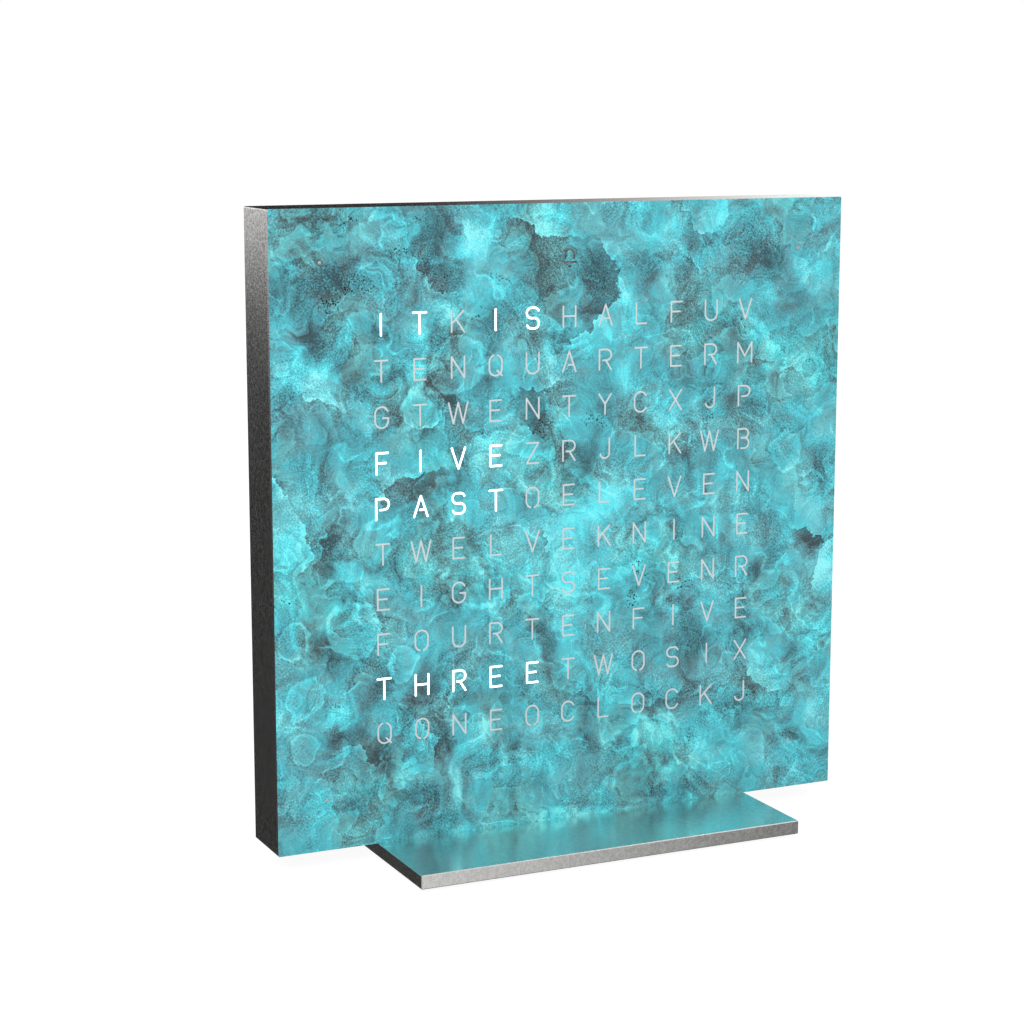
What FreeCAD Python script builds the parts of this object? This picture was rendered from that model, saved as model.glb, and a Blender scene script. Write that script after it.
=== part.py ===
"""Table clock that tells the time in lit words: a patinated square face on a slim steel housing.

Millimetres, +Z up. The face looks along -Y. The origin lies on the table, under the middle of
the stand, so the feet touch Z = 0.
"""
import FreeCAD, Part
import math
import os
import Sketcher

Vector = FreeCAD.Vector
DOC = FreeCAD.newDocument("word_clock")

# Driving dimensions: alias, value, what it sets.
SIZES = [
    ("face_size", "135", "side of the square face and of the housing"),
    ("face_thickness", "1.0", "patinated face sheet"),
    ("corner_radius", "0.3", "the four corners of the face, seen from the front"),
    ("sheet_thickness", "0.4", "diffuser sheet behind the face"),
    ("baffle_depth", "5.1", "light baffle, front to back"),
    ("board_thickness", "1.6", "circuit board"),
    ("rear_space", "5.0", "room between the board and the rear cover"),
    ("cover_thickness", "1.6", "rear cover"),
    ("housing_wall", "1.5", "steel wall of the housing"),
    ("stack_clearance", "0.3", "gap between the inner plates and the housing wall"),
    ("cover_clearance", "0.2", "gap around the rear cover"),
    ("column_pitch", "8.66", "letter to letter along a row"),
    ("row_pitch", "9.64", "row to row"),
    ("letter_height", "4.8", "height of a capital"),
    ("stroke_width", "0.42", "width of a cut stroke"),
    ("inlay_clearance", "0.01", "gap between a raised letter and its cut"),
    ("inlay_recess", "0.05", "how far a raised letter stays below the face"),
    ("cell_rib", "1.3", "rib between two cells of the baffle"),
    ("well_diameter", "5.0", "round light well behind a dot or the alarm mark"),
    ("dot_inset", "11.0", "minute dot to the nearest two edges of the face"),
    ("dot_diameter", "0.7", "minute dot"),
    ("mark_inset", "11.3", "alarm mark to the top edge of the face"),
    ("led_width", "3.5", "light-emitting diode along X"),
    ("led_height", "2.8", "light-emitting diode along Z"),
    ("led_thickness", "1.9", "light-emitting diode off the board"),
    ("led_window", "2.4", "round window of a diode"),
    ("window_depth", "0.3", "depth of that window"),
    ("post_side", "8.0", "square post in each housing corner"),
    ("screw_diameter", "2.5", "shank of every screw"),
    ("head_diameter", "4.7", "countersunk head of every screw"),
    ("socket_width", "1.5", "hexagon socket across its flats"),
    ("socket_depth", "0.9", "hexagon socket"),
    ("clamp_bite", "3.8", "how far a clamp screw reaches into the baffle"),
    ("stand_bite", "3.5", "how far a stand screw reaches into the tapped bar"),
    ("thread_clearance", "0.02", "radial gap of a screw in its thread and its seat"),
    ("through_clearance", "0.2", "radial gap of a screw in a through hole"),
    ("tip_clearance", "0.5", "blind hole beyond the tip of a screw"),
    ("button_pitch", "14", "button to button"),
    ("button_level", "40", "buttons above the middle of the face"),
    ("cap_diameter", "4.0", "button cap"),
    ("cap_proud", "0.8", "button cap beyond the rear cover"),
    ("cap_gap", "0.08", "radial gap of a cap in the cover"),
    ("cap_edge", "0.25", "chamfer of a cap"),
    ("flange_lip", "1.0", "flange that keeps a button in, beyond its cap"),
    ("flange_thickness", "0.9", "flange along the travel"),
    ("flange_gap", "0.05", "flange to the inside of the cover"),
    ("stem_diameter", "1.8", "stem between flange and plunger"),
    ("press_travel", "0.3", "travel of a button"),
    ("switch_side", "4.5", "square housing of a switch"),
    ("switch_height", "2.0", "switch housing off the board"),
    ("plunger_diameter", "2.0", "switch plunger"),
    ("plunger_proud", "0.5", "plunger beyond its housing"),
    ("plunger_depth", "0.8", "plunger inside its housing"),
    ("plunger_gap", "0.06", "radial gap of the plunger, and its spare travel"),
    ("inlet_level", "14", "power inlet above the bottom of the housing"),
    ("inlet_width", "8.34", "mouth of the power inlet"),
    ("inlet_height", "2.56", "mouth of the power inlet"),
    ("shell_wall", "0.3", "wall of the inlet's steel shell"),
    ("shell_gap", "0.2", "rear cover around that shell"),
    ("tongue_base", "1.2", "plastic floor of the inlet"),
    ("tongue_gap", "0.825", "contact tongue to each end of the mouth"),
    ("tongue_thickness", "0.7", "contact tongue"),
    ("tongue_setback", "1.0", "tongue behind the mouth"),
    ("cell_diameter", "20", "coin cell"),
    ("cell_thickness", "3.2", "coin cell"),
    ("cell_across", "-30", "coin cell from the middle, along X"),
    ("cell_level", "-14", "coin cell from the middle of the face"),
    ("holder_wall", "1.3", "thinnest wall of the square holder of the cell"),
    ("holder_floor", "0.6", "floor of that holder"),
    ("holder_gap", "0.2", "radial room around the cell"),
    ("clip_width", "5", "steel clip over the cell"),
    ("clip_thickness", "0.3", "steel clip over the cell"),
    ("buzzer_diameter", "12", "alarm buzzer"),
    ("buzzer_height", "4.0", "alarm buzzer off the board"),
    ("buzzer_across", "30", "buzzer from the middle, along X"),
    ("buzzer_level", "-18", "buzzer from the middle of the face"),
    ("buzzer_port", "1.5", "sound port of the buzzer"),
    ("port_depth", "2.0", "sound port of the buzzer"),
    ("sound_hole", "1.2", "sound holes of the rear cover"),
    ("sound_ring", "2.6", "radius of the ring of sound holes"),
    ("controller_side", "7", "controller chip"),
    ("driver_width", "7.8", "driver chips"),
    ("driver_height", "4.4", "driver chips"),
    ("driver_across", "22", "driver chips from the middle, along X"),
    ("driver_level", "14", "driver chips above the middle of the face"),
    ("chip_thickness", "1.0", "every chip"),
    ("lead_length", "1.0", "chip lead beyond its body"),
    ("lead_width", "0.3", "chip lead"),
    ("lead_thickness", "0.2", "chip lead"),
    ("lead_pitch", "0.8", "lead to lead"),
    ("regulator_across", "14", "regulator from the middle, along X"),
    ("regulator_level", "-46", "regulator from the middle of the face"),
    ("crystal_width", "3.2", "clock crystal"),
    ("crystal_height", "1.5", "clock crystal"),
    ("crystal_thickness", "0.8", "clock crystal"),
    ("capacitor_width", "2.0", "capacitor"),
    ("capacitor_height", "1.25", "capacitor"),
    ("capacitor_pitch", "4.0", "capacitor to capacitor"),
    ("part_gap", "2.0", "leads of a chip to the small parts below it"),
    ("stand_width", "90", "stand plate along X"),
    ("stand_front", "23.8", "stand plate in front of the housing"),
    ("stand_rear", "23.8", "stand plate behind the housing"),
    ("stand_thickness", "3.0", "stand plate"),
    ("stand_edge", "0.15", "broken edges of the stand plate"),
    ("bar_length", "60", "tapped bar inside the housing"),
    ("bar_height", "4.0", "tapped bar"),
    ("bar_gap", "0.3", "bar to the board and to the rear cover"),
    ("stand_screw_pitch", "44", "screw to screw under the stand"),
    ("pad_diameter", "8", "foot pad"),
    ("pad_thickness", "1.2", "foot pad"),
    ("pad_proud", "0.6", "foot pad below the stand plate"),
    ("pad_inset", "9", "middle of a pad to the edges of the stand"),
    ("pad_gap", "0.1", "radial room of a pad in its recess"),
]

sheet = DOC.addObject("Spreadsheet::Sheet", "Sizes")
for number, (alias, value, meaning) in enumerate(SIZES, start=1):
    sheet.set(f"A{number}", meaning)
    sheet.set(f"B{number}", value)
    sheet.setAlias(f"B{number}", alias)
DOC.recompute()


def cell(alias):
    """Spreadsheet cell as it is written in a formula."""
    return f"Sizes.{alias}"


def value_of(formula):
    """Number that a formula gives at the present sizes."""
    return float(sheet.evalExpression(formula))


# Places along Y, from the face at the front to the rear cover's outside.
DEPTH = ("(Sizes.face_thickness + Sizes.sheet_thickness + Sizes.baffle_depth"
         " + Sizes.board_thickness + Sizes.rear_space + Sizes.cover_thickness)")
FACE_FRONT = f"(-{DEPTH} / 2)"
SHEET_FRONT = f"({FACE_FRONT} + Sizes.face_thickness)"
BAFFLE_FRONT = f"({SHEET_FRONT} + Sizes.sheet_thickness)"
BOARD_FRONT = f"({BAFFLE_FRONT} + Sizes.baffle_depth)"
BOARD_REAR = f"({BOARD_FRONT} + Sizes.board_thickness)"
COVER_INSIDE = f"({BOARD_REAR} + Sizes.rear_space)"
COVER_OUTSIDE = f"({COVER_INSIDE} + Sizes.cover_thickness)"

# Heights.
STAND_BOTTOM = "Sizes.pad_proud"
HOUSING_BOTTOM = f"({STAND_BOTTOM} + Sizes.stand_thickness)"
HOUSING_FLOOR = f"({HOUSING_BOTTOM} + Sizes.housing_wall)"
MIDDLE = f"({HOUSING_BOTTOM} + Sizes.face_size / 2)"

# Half sizes of what fits inside the housing.
INSIDE_HALF = "(Sizes.face_size / 2 - Sizes.housing_wall)"
STACK_HALF = f"({INSIDE_HALF} - Sizes.stack_clearance)"
COVER_HALF = f"({INSIDE_HALF} - Sizes.cover_clearance)"
CLAMP_OFFSET = f"({INSIDE_HALF} - Sizes.post_side / 2)"
DOT_OFFSET = "(Sizes.face_size / 2 - Sizes.dot_inset)"
MARK_OFFSET = "(Sizes.face_size / 2 - Sizes.mark_inset)"
HEAD_DEPTH = "((Sizes.head_diameter - Sizes.screw_diameter) / 2)"
CORNERS = [(-1, -1), (1, -1), (1, 1), (-1, 1)]

# Rows of the dial: plain English words of time between spare letters.
DIAL = [
    "ITKISHALFUV",
    "TENQUARTERM",
    "GTWENTYCXJP",
    "FIVEZRJLKWB",
    "PASTOELEVEN",
    "TWELVEKNINE",
    "EIGHTSEVENR",
    "FOURTENFIVE",
    "THREETWOSIX",
    "QONEOCLOCKJ",
]
COLUMNS = len(DIAL[0])
ROWS = len(DIAL)

# Single-stroke stencil capitals on a grid six units high. A stroke of four numbers is a line
# from x, y to x, y. One of five is an arc: middle x, y, radius, first and last angle. The first
# entry is the letter's width. Closed counters stay joined to the sheet through gaps.
ALPHABET = {
    "A": (4.2, [(0, 0, 2.1, 6), (2.1, 6, 4.2, 0), (1.85, 2, 3.5, 2)]),
    "B": (3.8, [(0, 0, 0, 6), (0, 6, 2.2, 6), (2.2, 4.6, 1.4, -90, 90), (1.2, 3.2, 2.2, 3.2),
                (2.2, 1.6, 1.6, -90, 90), (1.2, 0, 2.2, 0)]),
    "C": (4, [(2, 4, 2, 25, 180), (0, 4, 0, 2), (2, 2, 2, 180, 335)]),
    "E": (3.5, [(0, 0, 0, 6), (0, 6, 3.5, 6), (0, 3.1, 2.9, 3.1), (0, 0, 3.5, 0)]),
    "F": (3.5, [(0, 0, 0, 6), (0, 6, 3.5, 6), (0, 3.1, 2.9, 3.1)]),
    "G": (4, [(2, 4, 2, 25, 180), (0, 4, 0, 2), (2, 2, 2, 180, 360), (4, 2, 4, 2.8),
              (2.4, 2.8, 4, 2.8)]),
    "H": (4, [(0, 0, 0, 6), (4, 0, 4, 6), (0, 3.1, 4, 3.1)]),
    "I": (0, [(0, 0, 0, 6)]),
    "J": (3, [(3, 6, 3, 1.5), (1.5, 1.5, 1.5, 190, 360)]),
    "K": (3.9, [(0, 0, 0, 6), (3.7, 6, 0, 2.3), (1.4, 3.7, 3.9, 0)]),
    "L": (3.3, [(0, 6, 0, 0), (0, 0, 3.3, 0)]),
    "M": (4.8, [(0, 0, 0, 6), (0, 6, 2.4, 1.9), (2.4, 1.9, 4.8, 6), (4.8, 6, 4.8, 0)]),
    "N": (4, [(0, 0, 0, 6), (0, 6, 4, 0), (4, 0, 4, 6)]),
    "O": (4, [(2, 4, 2, 0, 180), (0, 4, 0, 2), (2, 2, 2, 180, 252), (2, 2, 2, 288, 360),
              (4, 2, 4, 4)]),
    "P": (3.9, [(0, 0, 0, 6), (0, 6, 2.3, 6), (2.3, 4.4, 1.6, -90, 90), (1.2, 2.8, 2.3, 2.8)]),
    "Q": (4, [(2, 4, 2, 0, 72), (2, 4, 2, 108, 180), (0, 4, 0, 2), (2, 2, 2, 180, 360),
              (4, 2, 4, 4), (2.5, 1.5, 4, 0)]),
    "R": (3.9, [(0, 0, 0, 6), (0, 6, 2.3, 6), (2.3, 4.4, 1.6, -90, 90), (1.2, 2.8, 2.3, 2.8),
                (2.1, 2.8, 3.9, 0)]),
    "S": (3.9, [(2.4, 4.5, 1.5, 25, 90), (1.5, 6, 2.4, 6), (1.5, 4.5, 1.5, 90, 270),
                (1.5, 3, 2.4, 3), (2.4, 1.5, 1.5, -90, 90), (1.5, 0, 2.4, 0),
                (1.5, 1.5, 1.5, 205, 270)]),
    "T": (4, [(0, 6, 4, 6), (2, 0, 2, 6)]),
    "U": (4, [(0, 6, 0, 2), (2, 2, 2, 180, 360), (4, 2, 4, 6)]),
    "V": (4.2, [(0, 6, 2.1, 0), (2.1, 0, 4.2, 6)]),
    "W": (6, [(0, 6, 1.5, 0), (1.5, 0, 3, 6), (3, 6, 4.5, 0), (4.5, 0, 6, 6)]),
    "X": (4, [(0, 0, 4, 6), (0, 6, 4, 0)]),
    "Y": (4, [(0, 6, 2, 3), (4, 6, 2, 3), (2, 3, 2, 0)]),
    "Z": (3.8, [(0, 6, 3.8, 6), (3.8, 6, 0, 0), (0, 0, 3.8, 0)]),
}
GRID_HEIGHT = 6
# The alarm mark: a plain bell, open between its dome and its brim.
BELL = (4, [(2, 3.6, 1.4, 0, 180), (0.6, 3.6, 0.6, 2.4), (3.4, 3.6, 3.4, 2.4),
            (0, 1.3, 4, 1.3), (1.8, 0.1, 2.2, 0.1)])


def bind(thing, **formulas):
    """Tie properties of an object to formulas over the sheet."""
    for name, formula in formulas.items():
        thing.setExpression(name, formula)


def place(thing, across="0", along="0", up="0"):
    """Tie the base of an object's placement to three formulas."""
    thing.setExpression("Placement.Base.x", across)
    thing.setExpression("Placement.Base.y", along)
    thing.setExpression("Placement.Base.z", up)


def named(thing, label):
    """Give an object the label of its node."""
    thing.Label = label
    return thing


def box(name, width, depth, height, across, along, up):
    """Box from its lowest corner."""
    thing = DOC.addObject("Part::Box", name)
    bind(thing, Length=width, Width=depth, Height=height)
    place(thing, across, along, up)
    return thing


def centred_box(name, width, depth, height, across, along, up):
    """Box whose middle in X and Z lies at across and up, and whose front lies at along."""
    return box(name, width, depth, height, f"{across} - {width} / 2", along,
               f"{up} - {height} / 2")


def turned_to(thing, axis):
    """Turn a primitive that stands on Z to point along an axis."""
    thing.Placement = FreeCAD.Placement(Vector(), FreeCAD.Rotation(Vector(0, 0, 1), axis))
    return thing


TO_REAR = Vector(0, 1, 0)
TO_FRONT = Vector(0, -1, 0)
UPWARDS = Vector(0, 0, 1)


def rod(name, radius, length, across, along, up, axis=TO_REAR):
    """Cylinder from the middle of its first face."""
    thing = turned_to(DOC.addObject("Part::Cylinder", name), axis)
    bind(thing, Radius=radius, Height=length)
    place(thing, across, along, up)
    return thing


def taper(name, first, last, length, across, along, up, axis):
    """Cone from the middle of its first face."""
    thing = turned_to(DOC.addObject("Part::Cone", name), axis)
    bind(thing, Radius1=first, Radius2=last, Height=length)
    place(thing, across, along, up)
    return thing


def fused(name, things):
    """One solid of several."""
    whole = DOC.addObject("Part::MultiFuse", name)
    whole.Shapes = things
    return whole


def grouped(name, things):
    """Separate solids kept in one object."""
    group = DOC.addObject("Part::Compound", name)
    group.Links = things
    return group


def cut(name, base, tool):
    """Base without tool."""
    rest = DOC.addObject("Part::Cut", name)
    rest.Base = base
    rest.Tool = tool
    return rest


def built(name, shape):
    """Object whose shape is made by Part's own functions."""
    thing = DOC.addObject("Part::Feature", name)
    thing.Shape = shape
    return thing


def plane_of(body, role):
    """One of the origin planes of a body."""
    return next(plane for plane in body.Origin.OriginFeatures if plane.Role == role)


def sketch_in(body, name, role, offset="0"):
    """Empty sketch on an origin plane, moved off it by offset."""
    sketch = body.newObject("Sketcher::SketchObject", name)
    sketch.AttachmentSupport = [(plane_of(body, role), "")]
    sketch.MapMode = "FlatFace"
    sketch.setExpression("AttachmentOffset.Base.z", offset)
    return sketch


def hold(sketch, kind, name, geometry, point, formula):
    """Tie one coordinate of a point, or a size, to a formula."""
    if kind in ("Radius", "Diameter"):
        constraint = Sketcher.Constraint(kind, geometry, value_of(formula))
    else:
        constraint = Sketcher.Constraint(kind, -1, 1, geometry, point, value_of(formula))
    index = sketch.addConstraint(constraint)
    sketch.renameConstraint(index, name)
    sketch.setExpression(f"Constraints.{name}", formula)


def outline(sketch, corners, tag="p"):
    """Closed run of lines through corners, each a pair of formulas."""
    spots = [Vector(value_of(across), value_of(up), 0) for across, up in corners]
    first = sketch.GeometryCount
    count = len(spots)
    for index in range(count):
        line = Part.LineSegment(spots[index], spots[(index + 1) % count])
        sketch.addGeometry(line, False)
    for index in range(count):
        following = first + (index + 1) % count
        sketch.addConstraint(Sketcher.Constraint("Coincident", first + index, 2, following, 1))
    for index, (across, up) in enumerate(corners):
        hold(sketch, "DistanceX", f"{tag}x{index}", first + index, 1, across)
        hold(sketch, "DistanceY", f"{tag}z{index}", first + index, 1, up)


def rectangle(sketch, half_width, half_height, across="0", up="0", tag="r"):
    """Rectangle about a middle."""
    outline(sketch, [(f"{across} + {half_width} * {side_x}", f"{up} + {half_height} * {side_z}")
                     for side_x, side_z in CORNERS], tag)


def circle(sketch, radius, across="0", up="0", tag="c"):
    """Circle about a middle."""
    middle = Vector(value_of(across), value_of(up), 0)
    index = sketch.addGeometry(Part.Circle(middle, Vector(0, 0, 1), value_of(radius)), False)
    hold(sketch, "DistanceX", f"{tag}x", index, 3, across)
    hold(sketch, "DistanceY", f"{tag}z", index, 3, up)
    hold(sketch, "Radius", f"{tag}r", index, None, radius)


def new_body(name, across="0", along="0", up="0"):
    """Body with its own frame at a place."""
    body = DOC.addObject("PartDesign::Body", name)
    place(body, across, along, up)
    return body


def pad(body, sketch, length, name="pad"):
    """Solid from a sketch, away from the front."""
    feature = body.newObject("PartDesign::Pad", name)
    feature.Profile = sketch
    feature.Reversed = sketch.AttachmentSupport[0][0].Role == "XZ_Plane"
    bind(feature, Length=length)
    DOC.recompute()
    return feature


def pocket(body, sketch, length=None, name="pocket", reverse=False):
    """Cut from a sketch, right through unless a length is given; it has to remove something."""
    before = body.Shape.Volume
    feature = body.newObject("PartDesign::Pocket", name)
    feature.Profile = sketch
    feature.Reversed = reverse
    if length is None:
        feature.Type = "ThroughAll"
    else:
        bind(feature, Length=length)
    DOC.recompute()
    if not body.Shape.Volume < before:
        raise RuntimeError(f"{name} of {body.Name} removes nothing")
    return feature


def slab(name, half, thickness, front, rounding=None):
    """Square plate about the middle of the face, with rounded corners if a radius is given."""
    body = new_body(name, along=front, up=MIDDLE)
    sketch = sketch_in(body, f"{name}_outline", "XZ_Plane")
    rectangle(sketch, half, half)
    DOC.recompute()
    feature = pad(body, sketch, thickness, f"{name}_pad")
    if rounding:
        fillet = body.newObject("PartDesign::Fillet", f"{name}_corners")
        fillet.Base = (feature, edges_along(feature.Shape, Vector(0, 1, 0)))
        bind(fillet, Radius=rounding)
        DOC.recompute()
    return body


def edges_along(shape, direction):
    """Names of the straight edges of a shape that run along a direction."""
    names = []
    for number, edge in enumerate(shape.Edges, start=1):
        run = edge.Vertexes[-1].Point - edge.Vertexes[0].Point
        if run.Length > 0 and abs(abs(run.normalize() * direction) - 1) < 1e-6:
            names.append(f"Edge{number}")
    return names


# ---------------------------------------------------------------- letters

def stroke_faces(stroke, unit, width):
    """Flat faces of one stroke in the XZ plane: its run and a round end at each of its ends."""
    half = width / 2
    if len(stroke) == 4:
        start = Vector(stroke[0] * unit, 0, stroke[1] * unit)
        end = Vector(stroke[2] * unit, 0, stroke[3] * unit)
        across = (end - start).normalize().cross(Vector(0, 1, 0)) * half
        run = Part.makePolygon([start - across, end - across, end + across, start + across,
                                start - across])
    else:
        middle = Vector(stroke[0] * unit, 0, stroke[1] * unit)
        angles = [math.radians(angle) for angle in stroke[3:5]]
        radius = stroke[2] * unit

        def spot(distance, angle):
            """Point of the arc's plane at a distance from its middle."""
            return middle + Vector(math.cos(angle), 0, math.sin(angle)) * distance

        start, end = (spot(radius, angle) for angle in angles)
        halfway = sum(angles) / 2
        outer, inner = radius + half, radius - half
        run = Part.Wire([
            Part.Arc(*(spot(outer, angle) for angle in (angles[0], halfway, angles[1]))).toShape(),
            Part.LineSegment(spot(outer, angles[1]), spot(inner, angles[1])).toShape(),
            Part.Arc(*(spot(inner, angle) for angle in (angles[1], halfway, angles[0]))).toShape(),
            Part.LineSegment(spot(inner, angles[0]), spot(outer, angles[0])).toShape(),
        ])
    ends = [Part.Wire(Part.makeCircle(half, tip, TO_FRONT)) for tip in (start, end)]
    return [Part.Face(wire) for wire in [run] + ends]


def glyph_face(glyph, width):
    """Flat shape of a glyph, its middle at the origin."""
    glyph_width, strokes = glyph
    unit = (value_of(cell("letter_height")) - value_of(cell("stroke_width"))) / GRID_HEIGHT
    faces = [face for stroke in strokes for face in stroke_faces(stroke, unit, width)]
    face = faces[0].fuse(faces[1:]).removeSplitter()
    face.translate(Vector(-glyph_width * unit / 2, 0, -GRID_HEIGHT * unit / 2))
    return face


def dial_prisms(width, front, depth):
    """Solids of all letters of the dial, from front towards the rear."""
    middle = value_of(MIDDLE)
    shapes = {letter: glyph_face(ALPHABET[letter], width) for letter in set("".join(DIAL))}
    prisms = []
    for row, letters in enumerate(DIAL):
        for column, letter in enumerate(letters):
            face = shapes[letter].copy()
            across = (column - (COLUMNS - 1) / 2) * value_of(cell("column_pitch"))
            up = middle + ((ROWS - 1) / 2 - row) * value_of(cell("row_pitch"))
            face.translate(Vector(across, front, up))
            prisms += face.extrude(Vector(0, depth, 0)).Solids
    return prisms


def mark_prisms(front, depth):
    """Solids of the alarm mark and the four minute dots."""
    middle = value_of(MIDDLE)
    face = glyph_face(BELL, value_of(cell("stroke_width")))
    face.translate(Vector(0, front, middle + value_of(MARK_OFFSET)))
    prisms = face.extrude(Vector(0, depth, 0)).Solids
    offset = value_of(DOT_OFFSET)
    for side_x, side_z in CORNERS:
        spot = Vector(side_x * offset, front, middle + side_z * offset)
        prisms.append(Part.makeCylinder(value_of(cell("dot_diameter")) / 2, depth, spot, TO_REAR))
    return prisms


def face_plate():
    """Patinated sheet with its letters, dots and alarm mark cut right through."""
    blank = slab("face_blank", "Sizes.face_size / 2", "Sizes.face_thickness", FACE_FRONT,
                 "Sizes.corner_radius")
    margin = value_of(cell("face_thickness"))
    front = value_of(FACE_FRONT) - margin
    cutters = dial_prisms(value_of(cell("stroke_width")), front, 3 * margin)
    cutters += mark_prisms(front, 3 * margin)
    tool = built("face_cutters", Part.makeCompound(cutters))
    return named(cut("face", blank, tool), "face_plate")


def letter_diffuser():
    """Translucent sheet glued to the back of the face, with raised letters in the cuts."""
    base = slab("diffuser_sheet", STACK_HALF, "Sizes.sheet_thickness", SHEET_FRONT)
    width = value_of("Sizes.stroke_width - 2 * Sizes.inlay_clearance")
    front = value_of(f"{FACE_FRONT} + Sizes.inlay_recess")
    depth = value_of("Sizes.face_thickness - Sizes.inlay_recess + Sizes.sheet_thickness / 2")
    letters = built("raised_letters", Part.makeCompound(dial_prisms(width, front, depth)))
    return named(fused("diffuser", [base, letters]), "letter_diffuser")


# ---------------------------------------------------------------- light

def light_baffle():
    """Black grid: an open cell behind each letter, a round well behind each dot and the mark."""
    body = slab("baffle", STACK_HALF, "Sizes.baffle_depth", BAFFLE_FRONT)
    wells = sketch_in(body, "wells", "XZ_Plane")
    for number, (side_x, side_z) in enumerate(CORNERS):
        circle(wells, "Sizes.well_diameter / 2", f"{DOT_OFFSET} * {side_x}",
               f"{DOT_OFFSET} * {side_z}", f"w{number}")
    circle(wells, "Sizes.well_diameter / 2", "0", MARK_OFFSET, "mark")
    DOC.recompute()
    pocket(body, wells, name="well_cut")
    threads = sketch_in(body, "threads", "XZ_Plane", f"-({THREAD_FRONT} - {BAFFLE_FRONT})")
    for number, (side_x, side_z) in enumerate(CORNERS):
        circle(threads, "Sizes.screw_diameter / 2 + Sizes.thread_clearance",
               f"{CLAMP_OFFSET} * {side_x}", f"{CLAMP_OFFSET} * {side_z}", f"t{number}")
    DOC.recompute()
    pocket(body, threads, name="thread_cut")
    first = sketch_in(body, "first_cell", "XZ_Plane")
    rectangle(first, "(Sizes.column_pitch - Sizes.cell_rib) / 2",
              "(Sizes.row_pitch - Sizes.cell_rib) / 2",
              f"-Sizes.column_pitch * {(COLUMNS - 1) / 2}",
              f"-Sizes.row_pitch * {(ROWS - 1) / 2}")
    DOC.recompute()
    opening = pocket(body, first, name="cell_cut")
    grid = body.newObject("PartDesign::MultiTransform", "cell_grid")
    grid.Originals = [opening]
    along_row = body.newObject("PartDesign::LinearPattern", "along_row")
    along_row.Direction = (first, ["H_Axis"])
    along_row.Occurrences = COLUMNS
    bind(along_row, Length=f"Sizes.column_pitch * {COLUMNS - 1}")
    up_column = body.newObject("PartDesign::LinearPattern", "up_column")
    up_column.Direction = (first, ["V_Axis"])
    up_column.Occurrences = ROWS
    bind(up_column, Length=f"Sizes.row_pitch * {ROWS - 1}")
    grid.Transformations = [along_row, up_column]
    body.Tip = grid
    DOC.recompute()
    return named(body, "light_baffle")


# Front end of the blind threads that take the clamp screws.
THREAD_FRONT = f"({BOARD_FRONT} - Sizes.clamp_bite - Sizes.tip_clearance)"


def led_board():
    """Circuit board with a clearance hole for each clamp screw."""
    body = slab("board", STACK_HALF, "Sizes.board_thickness", BOARD_FRONT)
    holes = sketch_in(body, "board_holes", "XZ_Plane")
    for number, (side_x, side_z) in enumerate(CORNERS):
        circle(holes, "Sizes.screw_diameter / 2 + Sizes.through_clearance",
               f"{CLAMP_OFFSET} * {side_x}", f"{CLAMP_OFFSET} * {side_z}", f"h{number}")
    DOC.recompute()
    pocket(body, holes, name="board_cut")
    return named(body, "led_board")


def diode():
    """One light-emitting diode about the origin, its foot at Y = 0 and its window to the front."""
    width, height, thickness = (value_of(cell(name)) for name in
                                ("led_width", "led_height", "led_thickness"))
    package = Part.makeBox(width, thickness, height, Vector(-width / 2, -thickness, -height / 2))
    window = Part.makeCylinder(value_of(cell("led_window")) / 2, value_of(cell("window_depth")),
                               Vector(0, -thickness, 0), TO_REAR)
    return package.cut(window)


def diodes_at(label, spots):
    """Copies of the diode on the front of the board."""
    front = value_of(BOARD_FRONT)
    pattern = diode()
    copies = []
    for across, up in spots:
        copy = pattern.copy()
        copy.translate(Vector(across, front, value_of(MIDDLE) + up))
        copies.append(copy)
    return named(built(label, Part.makeCompound(copies)), label)


def light_sources():
    """Diodes of the letters, of the minute dots and of the alarm mark."""
    columns = [(column - (COLUMNS - 1) / 2) * value_of(cell("column_pitch"))
               for column in range(COLUMNS)]
    rows = [(row - (ROWS - 1) / 2) * value_of(cell("row_pitch")) for row in range(ROWS)]
    offset = value_of(DOT_OFFSET)
    return [
        diodes_at("letter_leds", [(across, up) for across in columns for up in rows]),
        diodes_at("minute_leds", [(side_x * offset, side_z * offset)
                                  for side_x, side_z in CORNERS]),
        diodes_at("alarm_led", [(0, value_of(MARK_OFFSET))]),
    ]


# ---------------------------------------------------------------- housing

def housing_frame():
    """Square steel ring, with two screw holes through its bottom wall."""
    ring = slab("ring", "Sizes.face_size / 2", f"{DEPTH} - Sizes.face_thickness", SHEET_FRONT,
                "Sizes.corner_radius")
    inside = sketch_in(ring, "ring_inside", "XZ_Plane")
    rectangle(inside, INSIDE_HALF, INSIDE_HALF)
    DOC.recompute()
    pocket(ring, inside, name="ring_opening")
    holes = [rod(f"frame_hole_{number}", "Sizes.screw_diameter / 2 + Sizes.through_clearance",
                 "Sizes.housing_wall", across, SCREW_LINE, HOUSING_BOTTOM, UPWARDS)
             for number, across in enumerate(STAND_SCREWS)]
    return named(cut("frame", ring, fused("frame_holes", holes)), "housing_frame")


# Line of the stand screws, halfway between the board and the rear cover.
SCREW_LINE = f"({BOARD_REAR} + Sizes.rear_space / 2)"
STAND_SCREWS = ["(-Sizes.stand_screw_pitch / 2)", "(Sizes.stand_screw_pitch / 2)"]


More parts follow.
